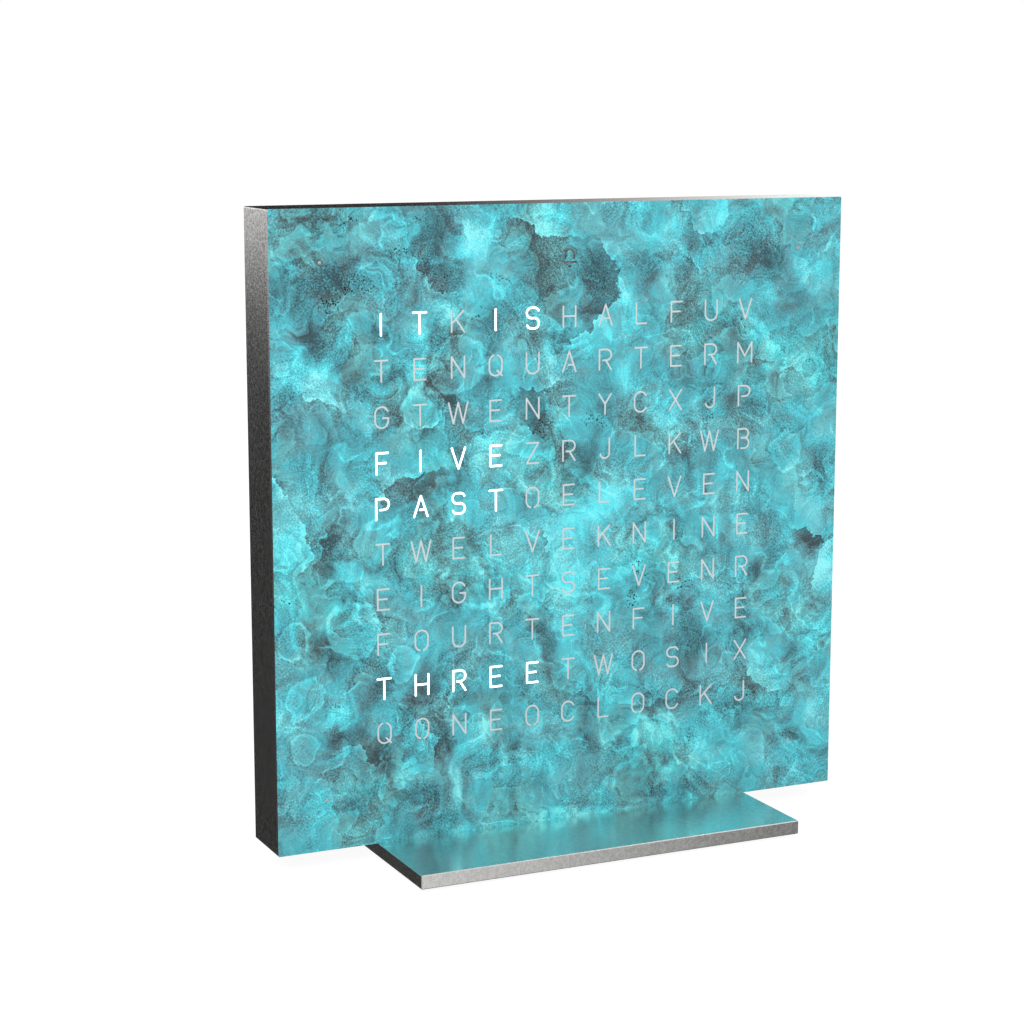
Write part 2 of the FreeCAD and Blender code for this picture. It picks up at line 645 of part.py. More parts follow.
def corner_posts():
    """Four square posts welded into the corners, between the board and the rear cover."""
    posts = []
    for number, (side_x, side_z) in enumerate(CORNERS):
        across = f"{CLAMP_OFFSET} * {side_x}"
        up = f"{MIDDLE} + {CLAMP_OFFSET} * {side_z}"
        post = centred_box(f"post_{number}", "Sizes.post_side", "Sizes.rear_space",
                           "Sizes.post_side", across, BOARD_REAR, up)
        hole = rod(f"post_hole_{number}", "Sizes.screw_diameter / 2 + Sizes.through_clearance",
                   "Sizes.rear_space", across, BOARD_REAR, up)
        posts.append(cut(f"bored_post_{number}", post, hole))
    return named(grouped("posts", posts), "corner_posts")


def screw(name, length, across, along, up, axis):
    """Countersunk screw from the middle of its head, pointing along an axis."""
    head = taper(f"{name}_head", "Sizes.head_diameter / 2", "Sizes.screw_diameter / 2",
                 HEAD_DEPTH, across, along, up, axis)
    shank = rod(f"{name}_shank", "Sizes.screw_diameter / 2", length, across, along, up, axis)
    socket = turned_to(DOC.addObject("Part::Prism", f"{name}_socket"), axis)
    socket.Polygon = 6
    bind(socket, Circumradius="Sizes.socket_width / sqrt(3)", Height="Sizes.socket_depth")
    place(socket, across, along, up)
    return cut(name, fused(f"{name}_blank", [head, shank]), socket)


def screw_seat(name, thickness, across, along, up, axis):
    """Space that a countersunk screw needs in a plate, from the plate's outside."""
    sink = taper(f"{name}_sink", "Sizes.head_diameter / 2 + Sizes.thread_clearance",
                 "Sizes.screw_diameter / 2 + Sizes.thread_clearance", HEAD_DEPTH,
                 across, along, up, axis)
    hole = rod(f"{name}_hole", "Sizes.screw_diameter / 2 + Sizes.through_clearance", thickness,
               across, along, up, axis)
    return [sink, hole]


def rear_cover():
    """Cover inside the rear of the ring, open for screws, buttons, power inlet and buzzer."""
    plate = slab("cover_plate", COVER_HALF, "Sizes.cover_thickness", COVER_INSIDE)
    spaces = []
    for number, (side_x, side_z) in enumerate(CORNERS):
        spaces += screw_seat(f"cover_screw_{number}", "Sizes.cover_thickness",
                             f"{CLAMP_OFFSET} * {side_x}", COVER_OUTSIDE,
                             f"{MIDDLE} + {CLAMP_OFFSET} * {side_z}", TO_FRONT)
    for control, across in BUTTONS.items():
        spaces.append(rod(f"{control}_hole", "Sizes.cap_diameter / 2 + Sizes.cap_gap",
                          "Sizes.cover_thickness", across, COVER_INSIDE, BUTTON_LEVEL))
    around = "2 * (Sizes.shell_wall + Sizes.shell_gap)"
    spaces.append(obround("inlet_hole", f"Sizes.inlet_width + {around}",
                          f"Sizes.inlet_height + {around}", "Sizes.cover_thickness",
                          COVER_INSIDE))
    level = f"({MIDDLE} + Sizes.buzzer_level)"
    spaces.append(rod("sound_hole_middle", "Sizes.sound_hole / 2", "Sizes.cover_thickness",
                      "Sizes.buzzer_across", COVER_INSIDE, level))
    for number in range(SOUND_HOLES):
        turn = number * 360 / SOUND_HOLES
        spaces.append(rod(f"sound_hole_{number}", "Sizes.sound_hole / 2", "Sizes.cover_thickness",
                          f"Sizes.buzzer_across + Sizes.sound_ring * cos({turn})", COVER_INSIDE,
                          f"{level} + Sizes.sound_ring * sin({turn})"))
    return named(cut("cover", plate, fused("cover_spaces", spaces)), "rear_cover")


SOUND_HOLES = 6


def clamp_screws():
    """Four screws that draw cover, posts, board and baffle together."""
    length = f"({COVER_OUTSIDE} - {BOARD_FRONT} + Sizes.clamp_bite)"
    screws = [screw(f"clamp_screw_{number}", length,
                    f"{CLAMP_OFFSET} * {side_x}", COVER_OUTSIDE,
                    f"{MIDDLE} + {CLAMP_OFFSET} * {side_z}", TO_FRONT)
              for number, (side_x, side_z) in enumerate(CORNERS)]
    return named(grouped("clamp_screw_set", screws), "clamp_screws")


# ---------------------------------------------------------------- buttons

BUTTONS = {
    "mode": "(Sizes.button_pitch * -1.5)",
    "hour": "(Sizes.button_pitch * -0.5)",
    "minute": "(Sizes.button_pitch * 0.5)",
    "alarm": "(Sizes.button_pitch * 1.5)",
}
BUTTON_LEVEL = f"({MIDDLE} + Sizes.button_level)"
PLUNGER_TOP = f"({BOARD_REAR} + Sizes.switch_height + Sizes.plunger_proud)"
FLANGE_REAR = f"({COVER_INSIDE} - Sizes.flange_gap)"


def push_button(control, across):
    """Cap, flange and stem turned from one piece, its stem on the plunger of the switch."""
    body = new_body(f"{control}_cap", across, PLUNGER_TOP, BUTTON_LEVEL)
    rear = f"({FLANGE_REAR} - {PLUNGER_TOP})"
    front = f"({rear} - Sizes.flange_thickness)"
    outer_end = f"({COVER_OUTSIDE} + Sizes.cap_proud - {PLUNGER_TOP})"
    profile = sketch_in(body, f"{control}_profile", "XY_Plane")
    outline(profile, [
        ("0", "0"),
        ("Sizes.stem_diameter / 2", "0"),
        ("Sizes.stem_diameter / 2", front),
        ("Sizes.cap_diameter / 2 + Sizes.flange_lip", front),
        ("Sizes.cap_diameter / 2 + Sizes.flange_lip", rear),
        ("Sizes.cap_diameter / 2", rear),
        ("Sizes.cap_diameter / 2", f"{outer_end} - Sizes.cap_edge"),
        ("Sizes.cap_diameter / 2 - Sizes.cap_edge", outer_end),
        ("0", outer_end),
    ])
    DOC.recompute()
    turned = body.newObject("PartDesign::Revolution", f"{control}_turned")
    turned.Profile = profile
    turned.ReferenceAxis = (profile, ["V_Axis"])
    turned.Angle = 360
    DOC.recompute()
    return named(body, f"{control}_button")


def switch_plunger(control, across):
    """Plunger of a switch, which the button pushes into the switch housing."""
    plunger = rod(f"{control}_plunger", "Sizes.plunger_diameter / 2",
                  "Sizes.plunger_proud + Sizes.plunger_depth", across,
                  f"{PLUNGER_TOP} - Sizes.plunger_proud - Sizes.plunger_depth", BUTTON_LEVEL)
    return named(plunger, f"{control}_plunger")


def switch_bodies():
    """Switch housings on the board, each with a blind bore for its plunger."""
    switches = []
    for control, across in BUTTONS.items():
        housing = centred_box(f"{control}_switch_blank", "Sizes.switch_side",
                              "Sizes.switch_height", "Sizes.switch_side", across, BOARD_REAR,
                              BUTTON_LEVEL)
        depth = "(Sizes.plunger_depth + Sizes.press_travel + Sizes.plunger_gap)"
        bore = rod(f"{control}_switch_bore", "Sizes.plunger_diameter / 2 + Sizes.plunger_gap",
                   depth, across, f"{BOARD_REAR} + Sizes.switch_height - {depth}", BUTTON_LEVEL)
        switches.append(cut(f"{control}_switch", housing, bore))
    return named(grouped("switches", switches), "switch_bodies")


# ---------------------------------------------------------------- electronics

INLET_LEVEL = f"({HOUSING_BOTTOM} + Sizes.inlet_level)"
INLET_DEPTH = "(Sizes.rear_space + Sizes.cover_thickness)"


def obround(name, width, height, depth, front):
    """Bar with half-round ends, lying along X about the axis of the power inlet."""
    span = f"(({width}) - ({height}))"
    middle = centred_box(f"{name}_middle", span, depth, f"({height})", "0", front, INLET_LEVEL)
    ends = [rod(f"{name}_end_{number}", f"({height}) / 2", depth, f"{span} * {side} / 2", front,
                INLET_LEVEL) for number, side in enumerate((-1, 1))]
    return fused(name, [middle] + ends)


def power_inlet():
    """Steel shell of the inlet, and the plastic floor with its contact tongue."""
    outside = obround("shell_outside", "Sizes.inlet_width + 2 * Sizes.shell_wall",
                      "Sizes.inlet_height + 2 * Sizes.shell_wall", INLET_DEPTH, BOARD_REAR)
    inside = obround("shell_inside", "Sizes.inlet_width", "Sizes.inlet_height", INLET_DEPTH,
                     BOARD_REAR)
    floor = obround("tongue_floor", "Sizes.inlet_width", "Sizes.inlet_height",
                    "Sizes.tongue_base", BOARD_REAR)
    tongue = centred_box("tongue_blade", "(Sizes.inlet_width - 2 * Sizes.tongue_gap)",
                         f"({INLET_DEPTH} - Sizes.tongue_setback)", "Sizes.tongue_thickness",
                         "0", BOARD_REAR, INLET_LEVEL)
    return [named(cut("shell", outside, inside), "usb_shell"),
            named(fused("tongue", [floor, tongue]), "usb_tongue")]


CELL_LEVEL = f"({MIDDLE} + Sizes.cell_level)"
HOLDER_SIDE = "(Sizes.cell_diameter + 2 * (Sizes.holder_gap + Sizes.holder_wall))"


def coin_cell_set():
    """Coin cell, its holder, and the steel clip that presses it down."""
    rim = f"({BOARD_REAR} + Sizes.holder_floor + Sizes.cell_thickness)"
    cell_disc = rod("cell_disc", "Sizes.cell_diameter / 2", "Sizes.cell_thickness",
                    "Sizes.cell_across", f"{BOARD_REAR} + Sizes.holder_floor", CELL_LEVEL)
    tray = centred_box("holder_blank", HOLDER_SIDE,
                       "(Sizes.holder_floor + Sizes.cell_thickness)", HOLDER_SIDE,
                       "Sizes.cell_across", BOARD_REAR, CELL_LEVEL)
    room = rod("holder_room", "Sizes.cell_diameter / 2 + Sizes.holder_gap",
               "Sizes.cell_thickness", "Sizes.cell_across",
               f"{BOARD_REAR} + Sizes.holder_floor", CELL_LEVEL)
    strap = centred_box("clip_strap", f"({HOLDER_SIDE} + 2 * Sizes.clip_thickness)",
                        "Sizes.clip_thickness", "Sizes.clip_width", "Sizes.cell_across", rim,
                        CELL_LEVEL)
    reach = f"({HOLDER_SIDE} + Sizes.clip_thickness) / 2"
    legs = [centred_box(f"clip_leg_{number}", "Sizes.clip_thickness",
                        "(Sizes.holder_floor + Sizes.cell_thickness)", "Sizes.clip_width",
                        f"Sizes.cell_across + {reach} * {side}", BOARD_REAR, CELL_LEVEL)
            for number, side in enumerate((-1, 1))]
    return [named(cell_disc, "coin_cell"),
            named(cut("holder", tray, room), "cell_holder"),
            named(fused("clip", [strap] + legs), "cell_clip")]


def alarm_buzzer():
    """Round buzzer with a sound port towards the rear cover."""
    level = f"({MIDDLE} + Sizes.buzzer_level)"
    can = rod("buzzer_can", "Sizes.buzzer_diameter / 2", "Sizes.buzzer_height",
              "Sizes.buzzer_across", BOARD_REAR, level)
    port = rod("buzzer_port", "Sizes.buzzer_port / 2", "Sizes.port_depth", "Sizes.buzzer_across",
               f"{BOARD_REAR} + Sizes.buzzer_height - Sizes.port_depth", level)
    return named(cut("buzzer", can, port), "alarm_buzzer")


def chip(name, width, height, leads, sides, across, up):
    """Moulded chip with flat leads on two or four sides."""
    body = new_body(name, across, BOARD_REAR, up)
    outline_sketch = sketch_in(body, f"{name}_outline", "XZ_Plane")
    rectangle(outline_sketch, f"{width} / 2", f"{height} / 2")
    DOC.recompute()
    pad(body, outline_sketch, "Sizes.chip_thickness", f"{name}_pad")
    lead_sketch = sketch_in(body, f"{name}_lead_outline", "XZ_Plane")
    reach = f"({height} + Sizes.lead_length) / 2"
    rectangle(lead_sketch, "Sizes.lead_width / 2", "Sizes.lead_length / 2",
              f"Sizes.lead_pitch * {-(leads - 1) / 2}", reach)
    DOC.recompute()
    lead = pad(body, lead_sketch, "Sizes.lead_thickness", f"{name}_lead")
    comb = body.newObject("PartDesign::MultiTransform", f"{name}_comb")
    comb.Originals = [lead]
    row = body.newObject("PartDesign::LinearPattern", f"{name}_row")
    row.Direction = (lead_sketch, ["H_Axis"])
    row.Occurrences = leads
    bind(row, Length=f"Sizes.lead_pitch * {leads - 1}")
    around = body.newObject("PartDesign::PolarPattern", f"{name}_around")
    around.Axis = (lead_sketch, ["N_Axis"])
    around.Angle = 360
    around.Occurrences = sides
    comb.Transformations = [row, around]
    body.Tip = comb
    DOC.recompute()
    return body


CONTROLLER_LEADS = 8
DRIVER_LEADS = 9
REGULATOR_LEADS = 3
ALL_SIDES = 4
TWO_SIDES = 2


def chips():
    """Controller, the two drivers of the diodes, and the regulator beside the inlet."""
    level = f"({MIDDLE} + Sizes.driver_level)"
    controller = chip("controller", "Sizes.controller_side", "Sizes.controller_side",
                      CONTROLLER_LEADS, ALL_SIDES, "0", MIDDLE)
    drivers = [chip(f"driver_{number}", "Sizes.driver_width", "Sizes.driver_height",
                    DRIVER_LEADS, TWO_SIDES, f"Sizes.driver_across * {side}", level)
               for number, side in enumerate((-1, 1))]
    regulator = chip("regulator", "Sizes.driver_height", "Sizes.driver_height",
                     REGULATOR_LEADS, TWO_SIDES, "Sizes.regulator_across",
                     f"{MIDDLE} + Sizes.regulator_level")
    return [named(controller, "controller_chip"),
            named(grouped("drivers", drivers), "driver_chips"),
            named(regulator, "regulator_chip")]


def small_parts():
    """Clock crystal below the controller, and a row of capacitors below each driver."""
    crystal = centred_box("crystal", "Sizes.crystal_width", "Sizes.crystal_thickness",
                          "Sizes.crystal_height", "0", BOARD_REAR,
                          f"({MIDDLE} - Sizes.controller_side / 2 - Sizes.lead_length"
                          " - Sizes.part_gap - Sizes.crystal_height / 2)")
    level = (f"({MIDDLE} + Sizes.driver_level - Sizes.driver_height / 2 - Sizes.lead_length"
             " - Sizes.part_gap - Sizes.capacitor_height / 2)")
    row = []
    for side in (-1, 1):
        for step in (-1, 0, 1):
            across = f"(Sizes.driver_across * {side} + Sizes.capacitor_pitch * {step})"
            row.append(centred_box(f"capacitor_{len(row)}", "Sizes.capacitor_width",
                                   "Sizes.capacitor_height", "Sizes.capacitor_height", across,
                                   BOARD_REAR, level))
    return [named(crystal, "clock_crystal"), named(grouped("capacitor_row", row), "capacitors")]


# ---------------------------------------------------------------- stand

STAND_DEPTH = f"({DEPTH} + Sizes.stand_front + Sizes.stand_rear)"
STAND_FRONT = f"({FACE_FRONT} - Sizes.stand_front)"
STAND_MIDDLE = f"({STAND_FRONT} + {STAND_DEPTH} / 2)"


def stand_plate():
    """Steel plate under the housing, with pad recesses and two countersunk holes below."""
    body = new_body("stand", "0", STAND_MIDDLE, STAND_BOTTOM)
    footprint = sketch_in(body, "stand_outline", "XY_Plane")
    rectangle(footprint, "Sizes.stand_width / 2", f"{STAND_DEPTH} / 2")
    DOC.recompute()
    plate = pad(body, footprint, "Sizes.stand_thickness", "stand_pad")
    edges = body.newObject("PartDesign::Chamfer", "stand_edges")
    edges.Base = (plate, [f"Edge{number}" for number in range(1, len(plate.Shape.Edges) + 1)])
    bind(edges, Size="Sizes.stand_edge")
    DOC.recompute()
    recesses = sketch_in(body, "pad_recesses", "XY_Plane")
    for number, (across, along) in enumerate(PAD_SPOTS):
        circle(recesses, "Sizes.pad_diameter / 2 + Sizes.pad_gap", across, along, f"p{number}")
    DOC.recompute()
    pocket(body, recesses, "Sizes.pad_thickness - Sizes.pad_proud", "pad_cut", reverse=True)
    spaces = []
    for number, across in enumerate(STAND_SCREWS):
        spaces += screw_seat(f"stand_screw_seat_{number}", "Sizes.stand_thickness", across,
                             SCREW_LINE, STAND_BOTTOM, UPWARDS)
    return named(cut("stand_drilled", body, fused("stand_spaces", spaces)), "stand_plate")


PAD_SPOTS = [(f"(Sizes.stand_width / 2 - Sizes.pad_inset) * {side_x}",
              f"({STAND_DEPTH} / 2 - Sizes.pad_inset) * {side_y}") for side_x, side_y in CORNERS]


def stand_fixings():
    """Tapped bar on the housing's floor, the two screws into it, and the four foot pads."""
    bar = centred_box("bar_blank", "Sizes.bar_length", "(Sizes.rear_space - 2 * Sizes.bar_gap)",
                      "Sizes.bar_height", "0", f"{BOARD_REAR} + Sizes.bar_gap",
                      f"({HOUSING_FLOOR} + Sizes.bar_height / 2)")
    threads = [rod(f"bar_thread_{number}", "Sizes.screw_diameter / 2 + Sizes.thread_clearance",
                   "Sizes.bar_height", across, SCREW_LINE, HOUSING_FLOOR, UPWARDS)
               for number, across in enumerate(STAND_SCREWS)]
    length = f"({HOUSING_FLOOR} - {STAND_BOTTOM} + Sizes.stand_bite)"
    screws = [screw(f"stand_screw_{number}", length, across, SCREW_LINE, STAND_BOTTOM, UPWARDS)
              for number, across in enumerate(STAND_SCREWS)]
    pads = [rod(f"pad_{number}", "Sizes.pad_diameter / 2", "Sizes.pad_thickness", across,
                f"{STAND_MIDDLE} + {along}", "0", UPWARDS)
            for number, (across, along) in enumerate(PAD_SPOTS)]
    return [named(cut("bar", bar, fused("bar_threads", threads)), "stand_bar"),
            named(grouped("stand_screw_pair", screws), "stand_screws"),
            named(grouped("pads", pads), "foot_pads")]


# ---------------------------------------------------------------- whole clock

def clock():
    """Every sub-part of the clock."""
    parts = [face_plate(), letter_diffuser(), light_baffle(), led_board()]
    parts += light_sources()
    parts += [housing_frame(), corner_posts(), rear_cover(), clamp_screws(), switch_bodies()]
    for control, across in BUTTONS.items():
        parts += [push_button(control, across), switch_plunger(control, across)]
    parts += power_inlet() + coin_cell_set() + [alarm_buzzer()] + chips() + small_parts()
    parts += [stand_plate()] + stand_fixings()
    return parts


def export(parts):
    """Write one file per sub-part, once the whole document has proved sound."""
    DOC.recompute()
    failed = [thing.Label for thing in DOC.Objects
              if "Invalid" in thing.State or "Error" in thing.State]
    if failed:
        raise RuntimeError(f"failed: {failed}")
    for part in parts:
        if part.Shape.isNull() or not part.Shape.isValid() or not part.Shape.Solids:
            raise RuntimeError(f"{part.Label} has no sound solid")
    os.makedirs("parts", exist_ok=True)
    for part in parts:
        part.Shape.exportStep(f"parts/{part.Label}.step")
        print(part.Label, len(part.Shape.Solids), round(part.Shape.Volume, 3))


export(clock())
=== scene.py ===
"""The finishes, light and camera of a square table clock that tells the time in lit words.

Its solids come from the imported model. Lengths are in metres in that model's frame, with
the clock's face towards -Y, unless a name says otherwise.
"""
import math

import bpy
import numpy as np
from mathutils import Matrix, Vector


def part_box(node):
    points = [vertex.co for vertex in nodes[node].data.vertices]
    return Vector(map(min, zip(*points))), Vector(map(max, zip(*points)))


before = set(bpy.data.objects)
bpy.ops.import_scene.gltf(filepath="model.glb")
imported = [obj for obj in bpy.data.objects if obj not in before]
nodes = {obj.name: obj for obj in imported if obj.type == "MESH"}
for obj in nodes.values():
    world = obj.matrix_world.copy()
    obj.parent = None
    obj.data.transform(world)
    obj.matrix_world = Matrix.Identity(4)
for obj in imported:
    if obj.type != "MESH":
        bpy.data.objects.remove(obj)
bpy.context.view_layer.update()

MM = 0.001
FACE_LOW, FACE_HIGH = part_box("face_plate")
FACE_SIDE = FACE_HIGH[0] - FACE_LOW[0]
FACE_MIDDLE = (FACE_LOW[2] + FACE_HIGH[2]) / 2

COLUMNS = 11
ROWS = 10
LED_LOW, LED_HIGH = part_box("letter_leds")
LED_WIDE = 3.5 * MM
LED_TALL = 2.8 * MM
COLUMN_PITCH = (LED_HIGH[0] - LED_LOW[0] - LED_WIDE) / (COLUMNS - 1)
ROW_PITCH = (LED_HIGH[2] - LED_LOW[2] - LED_TALL) / (ROWS - 1)
# How far the minute dots lie from the middle of the face, both sideways and upwards.
DOT_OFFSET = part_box("minute_leds")[1][0] - LED_WIDE / 2

# The words that are lit for five past three: row, first and last column, counted from 1.
LIT_WORDS = ((1, 1, 2), (1, 4, 5), (4, 1, 4), (5, 1, 4), (9, 1, 5))


def colour(red, green, blue):
    """A display colour with parts from 0 to 255, as linear light with a full alpha."""
    parts = [part / 255 for part in (red, green, blue)]
    linear = [part / 12.92 if part <= 0.04045 else ((part + 0.055) / 1.055) ** 2.4 for part in parts]
    return (*linear, 1.0)


def shaded(paint, factor, offset=0.0):
    """A linear colour with its parts multiplied by factor and raised by offset."""
    return (*(part * factor + offset for part in paint[:3]), 1.0)


def total(signals):
    """The sum of some signals."""
    result = None
    for signal in signals:
        result = signal if result is None else result + signal
    return result


class Signal:
    """One output of a node graph. Arithmetic with numbers or other signals adds Math nodes."""

    def __init__(self, graph, socket):
        self.graph = graph
        self.socket = socket

    def math(self, operation, *others):
        node = self.graph.node("ShaderNodeMath", operation=operation)
        for socket, value in zip(node.inputs, (self, *others)):
            self.graph.feed(socket, value)
        return Signal(self.graph, node.outputs[0])

    def __add__(self, other):
        return self.math("ADD", other)

    def __sub__(self, other):
        return self.math("SUBTRACT", other)

    def __mul__(self, other):
        return self.math("MULTIPLY", other)

    def __truediv__(self, other):
        return self.math("DIVIDE", other)

    __radd__ = __add__
    __rmul__ = __mul__

    def __rsub__(self, other):
        return (self * -1.0) + other

    def size(self):
        """The value without its sign."""
        return self.math("ABSOLUTE")

    def clamped(self):
        return self.graph.output("ShaderNodeClamp", "Result", {"Value": self})

    def least(self, other):
        return self.math("MINIMUM", other)

    def most(self, other):
        return self.math("MAXIMUM", other)

    def power(self, exponent):
        return self.math("POWER", exponent)

    def below(self, limit):
        return self.math("LESS_THAN", limit)

    def above(self, limit):
        return self.math("GREATER_THAN", limit)

    def wrapped(self, pitch):
        """The distance from the nearest multiple of pitch, with its sign."""
        return self.math("WRAP", pitch / 2, -pitch / 2)

    def ease(self, start, end, low=0.0, high=1.0):
        """Runs smoothly from low at start to high at end, and stays there outside."""
        if start > end:
            start, end, low, high = end, start, high, low
        ends = {"Value": self, "From Min": start, "From Max": end, "To Min": low, "To Max": high}
        node = self.graph.node("ShaderNodeMapRange", ends, interpolation_type="SMOOTHSTEP", clamp=False)
        return Signal(self.graph, node.outputs[0])


class Graph:
    """The nodes of one material or of the world, added and linked by short calls."""

    def __init__(self, owner):
        owner.use_nodes = True
        self.owner = owner
        self.tree = owner.node_tree
        self.tree.nodes.clear()

    def feed(self, socket, value):
        if isinstance(value, Signal):
            self.tree.links.new(value.socket, socket)
        else:
            socket.default_value = value

    def node(self, kind, inputs=None, **settings):
        made = self.tree.nodes.new(kind)
        for name, value in settings.items():
            setattr(made, name, value)
        for name, value in (inputs or {}).items():
            self.feed(made.inputs[name], value)
        return made

    def output(self, kind, name, inputs=None, **settings):
        """The named output of a new node, as a signal."""
        return Signal(self, self.node(kind, inputs, **settings).outputs[name])

    def place(self):
        """Object coordinates."""
        return self.output("ShaderNodeTexCoord", "Object")

    def facing_y(self):
        """1 where the surface faces +Y, 0 where it lies along Y and -1 where it faces -Y."""
        return self.parts(self.output("ShaderNodeTexCoord", "Normal"))[1]

    def parts(self, vector):
        """The x, y and z of a vector."""
        node = self.node("ShaderNodeSeparateXYZ", {"Vector": vector})
        return [Signal(self, socket) for socket in node.outputs]

    def vector(self, *parts):
        return self.output("ShaderNodeCombineXYZ", "Vector", dict(zip("XYZ", parts)))

    def scaled(self, vector, factors, offset=(0.0, 0.0, 0.0)):
        """vector times factors plus offset, part by part."""
        node = self.node("ShaderNodeVectorMath", operation="MULTIPLY_ADD")
        for socket, value in zip(node.inputs, (vector, factors, offset)):
            self.feed(socket, value)
        return Signal(self, node.outputs[0])

    def joined(self, operation, first, second):
        """A vector from two vectors."""
        return self.output("ShaderNodeVectorMath", "Vector", {0: first, 1: second}, operation=operation)

    def dot(self, first, second):
        inputs = {0: first, 1: second}
        return self.output("ShaderNodeVectorMath", "Value", inputs, operation="DOT_PRODUCT")

    def length(self, vector):
        return self.output("ShaderNodeVectorMath", "Value", {0: vector}, operation="LENGTH")

    def noise(self, vector, scale, detail=2.0, roughness=0.5, sheet=False, part="Fac"):
        """Noise about 0.5 with scale features to the unit. sheet ignores the third coordinate."""
        inputs = {"Vector": vector, "Scale": scale, "Detail": detail, "Roughness": roughness}
        dimensions = "2D" if sheet else "3D"
        return self.output("ShaderNodeTexNoise", part, inputs, noise_dimensions=dimensions)

    def warped(self, vector, scale, reach, detail=2.0, roughness=0.5, sheet=True):
        """vector pushed about by noise, by up to about a quarter of reach each way."""
        push = self.noise(vector, scale, detail, roughness, sheet=sheet, part="Color")
        upward = 0.0 if sheet else reach
        centred = self.scaled(push, (reach, reach, upward), (-reach / 2, -reach / 2, -upward / 2))
        return self.joined("ADD", vector, centred)

    def fade(self, vector, kind, origin, turn, wide, high):
        """A gradient of 0 to 1 in a frame at origin, turned by turn, wide and high being its units.

        SPHERICAL falls from 1 at origin to 0 on the unit circle, and LINEAR rises along the width.
        """
        node = self.node("ShaderNodeTexGradient", {"Vector": vector}, gradient_type=kind)
        frame_of = node.texture_mapping
        frame_of.vector_type = "TEXTURE"
        frame_of.translation = tuple(origin)
        frame_of.rotation = (0.0, 0.0, turn)
        frame_of.scale = (wide, high, 1.0)
        return Signal(self, node.outputs["Fac"])

    def cells(self, vector, scale, scatter=1.0, **settings):
        """Cells, scale of them to the unit: the distance from one's middle in cells, its own random
        colour and its middle. scatter is how far they stray from a square grid.
        """
        inputs = {"Vector": vector, "Scale": scale, "Randomness": scatter}
        node = self.node("ShaderNodeTexVoronoi", inputs, **settings)
        return [Signal(self, node.outputs[name]) for name in ("Distance", "Color", "Position")]

    def mix(self, share, first, second, blend="MIX"):
        """A colour that goes from first to second, or to their product, as share goes from 0 to 1."""
        node = self.node("ShaderNodeMix", data_type="RGBA", blend_type=blend)
        for socket, value in ((0, share), (6, first), (7, second)):
            self.feed(node.inputs[socket], value)
        return Signal(self, node.outputs[2])

    def ramp(self, share, tones):
        """A colour ramp through tones at even distances, each with parts from 0 to 255."""
        node = self.node("ShaderNodeValToRGB", {"Fac": share})
        line = node.color_ramp.elements
        while len(line) < len(tones):
            line.new(0.5)
        for number, (element, tone) in enumerate(zip(line, tones)):
            element.position = round(number / (len(tones) - 1), 3)
            element.color = colour(*tone)
        return Signal(self, node.outputs["Color"])

    def profile(self, value, points):
        """A number read off a line of straight pieces through (place, height) points."""
        node = self.node("ShaderNodeFloatCurve", {"Value": value})
        node.mapping.use_clip = False
        line = node.mapping.curves[0]
        while len(line.points) < len(points):
            line.points.new(0.5, 0.5)
        for point, spot in zip(line.points, points):
            point.location = spot
            point.handle_type = "VECTOR"
        node.mapping.update()
        return Signal(self, node.outputs["Value"])

    def within(self, across, up, half_wide, half_high):
        """1 in a rectangle about 0, 0, and 0 elsewhere."""
        return across.size().below(half_wide) * up.size().below(half_high)

    def radius(self, across, up):
        """The distance from 0, 0."""
        return self.length(self.vector(across, up, 0.0))

    def painted(self, base, *coats):
        """base under coats, each a (share, colour), the last one on top."""
        for share, paint in coats:
            base = self.mix(share, base, paint)
        return base

    def bump(self, height, distance):
        """The normal that a relief of height times distance gives, with distance in metres."""
        inputs = {"Height": height, "Distance": distance, "Strength": 1.0}
        return self.output("ShaderNodeBump", "Normal", inputs)

    def finish(self, inputs):
        """Ends a material in one Principled surface, and returns the material."""
        surface = self.output("ShaderNodeBsdfPrincipled", "BSDF", inputs)
        self.node("ShaderNodeOutputMaterial", {"Surface": surface})
        return self.owner


def new_finish(name):
    """The graph of a new material."""
    return Graph(bpy.data.materials.new(name))


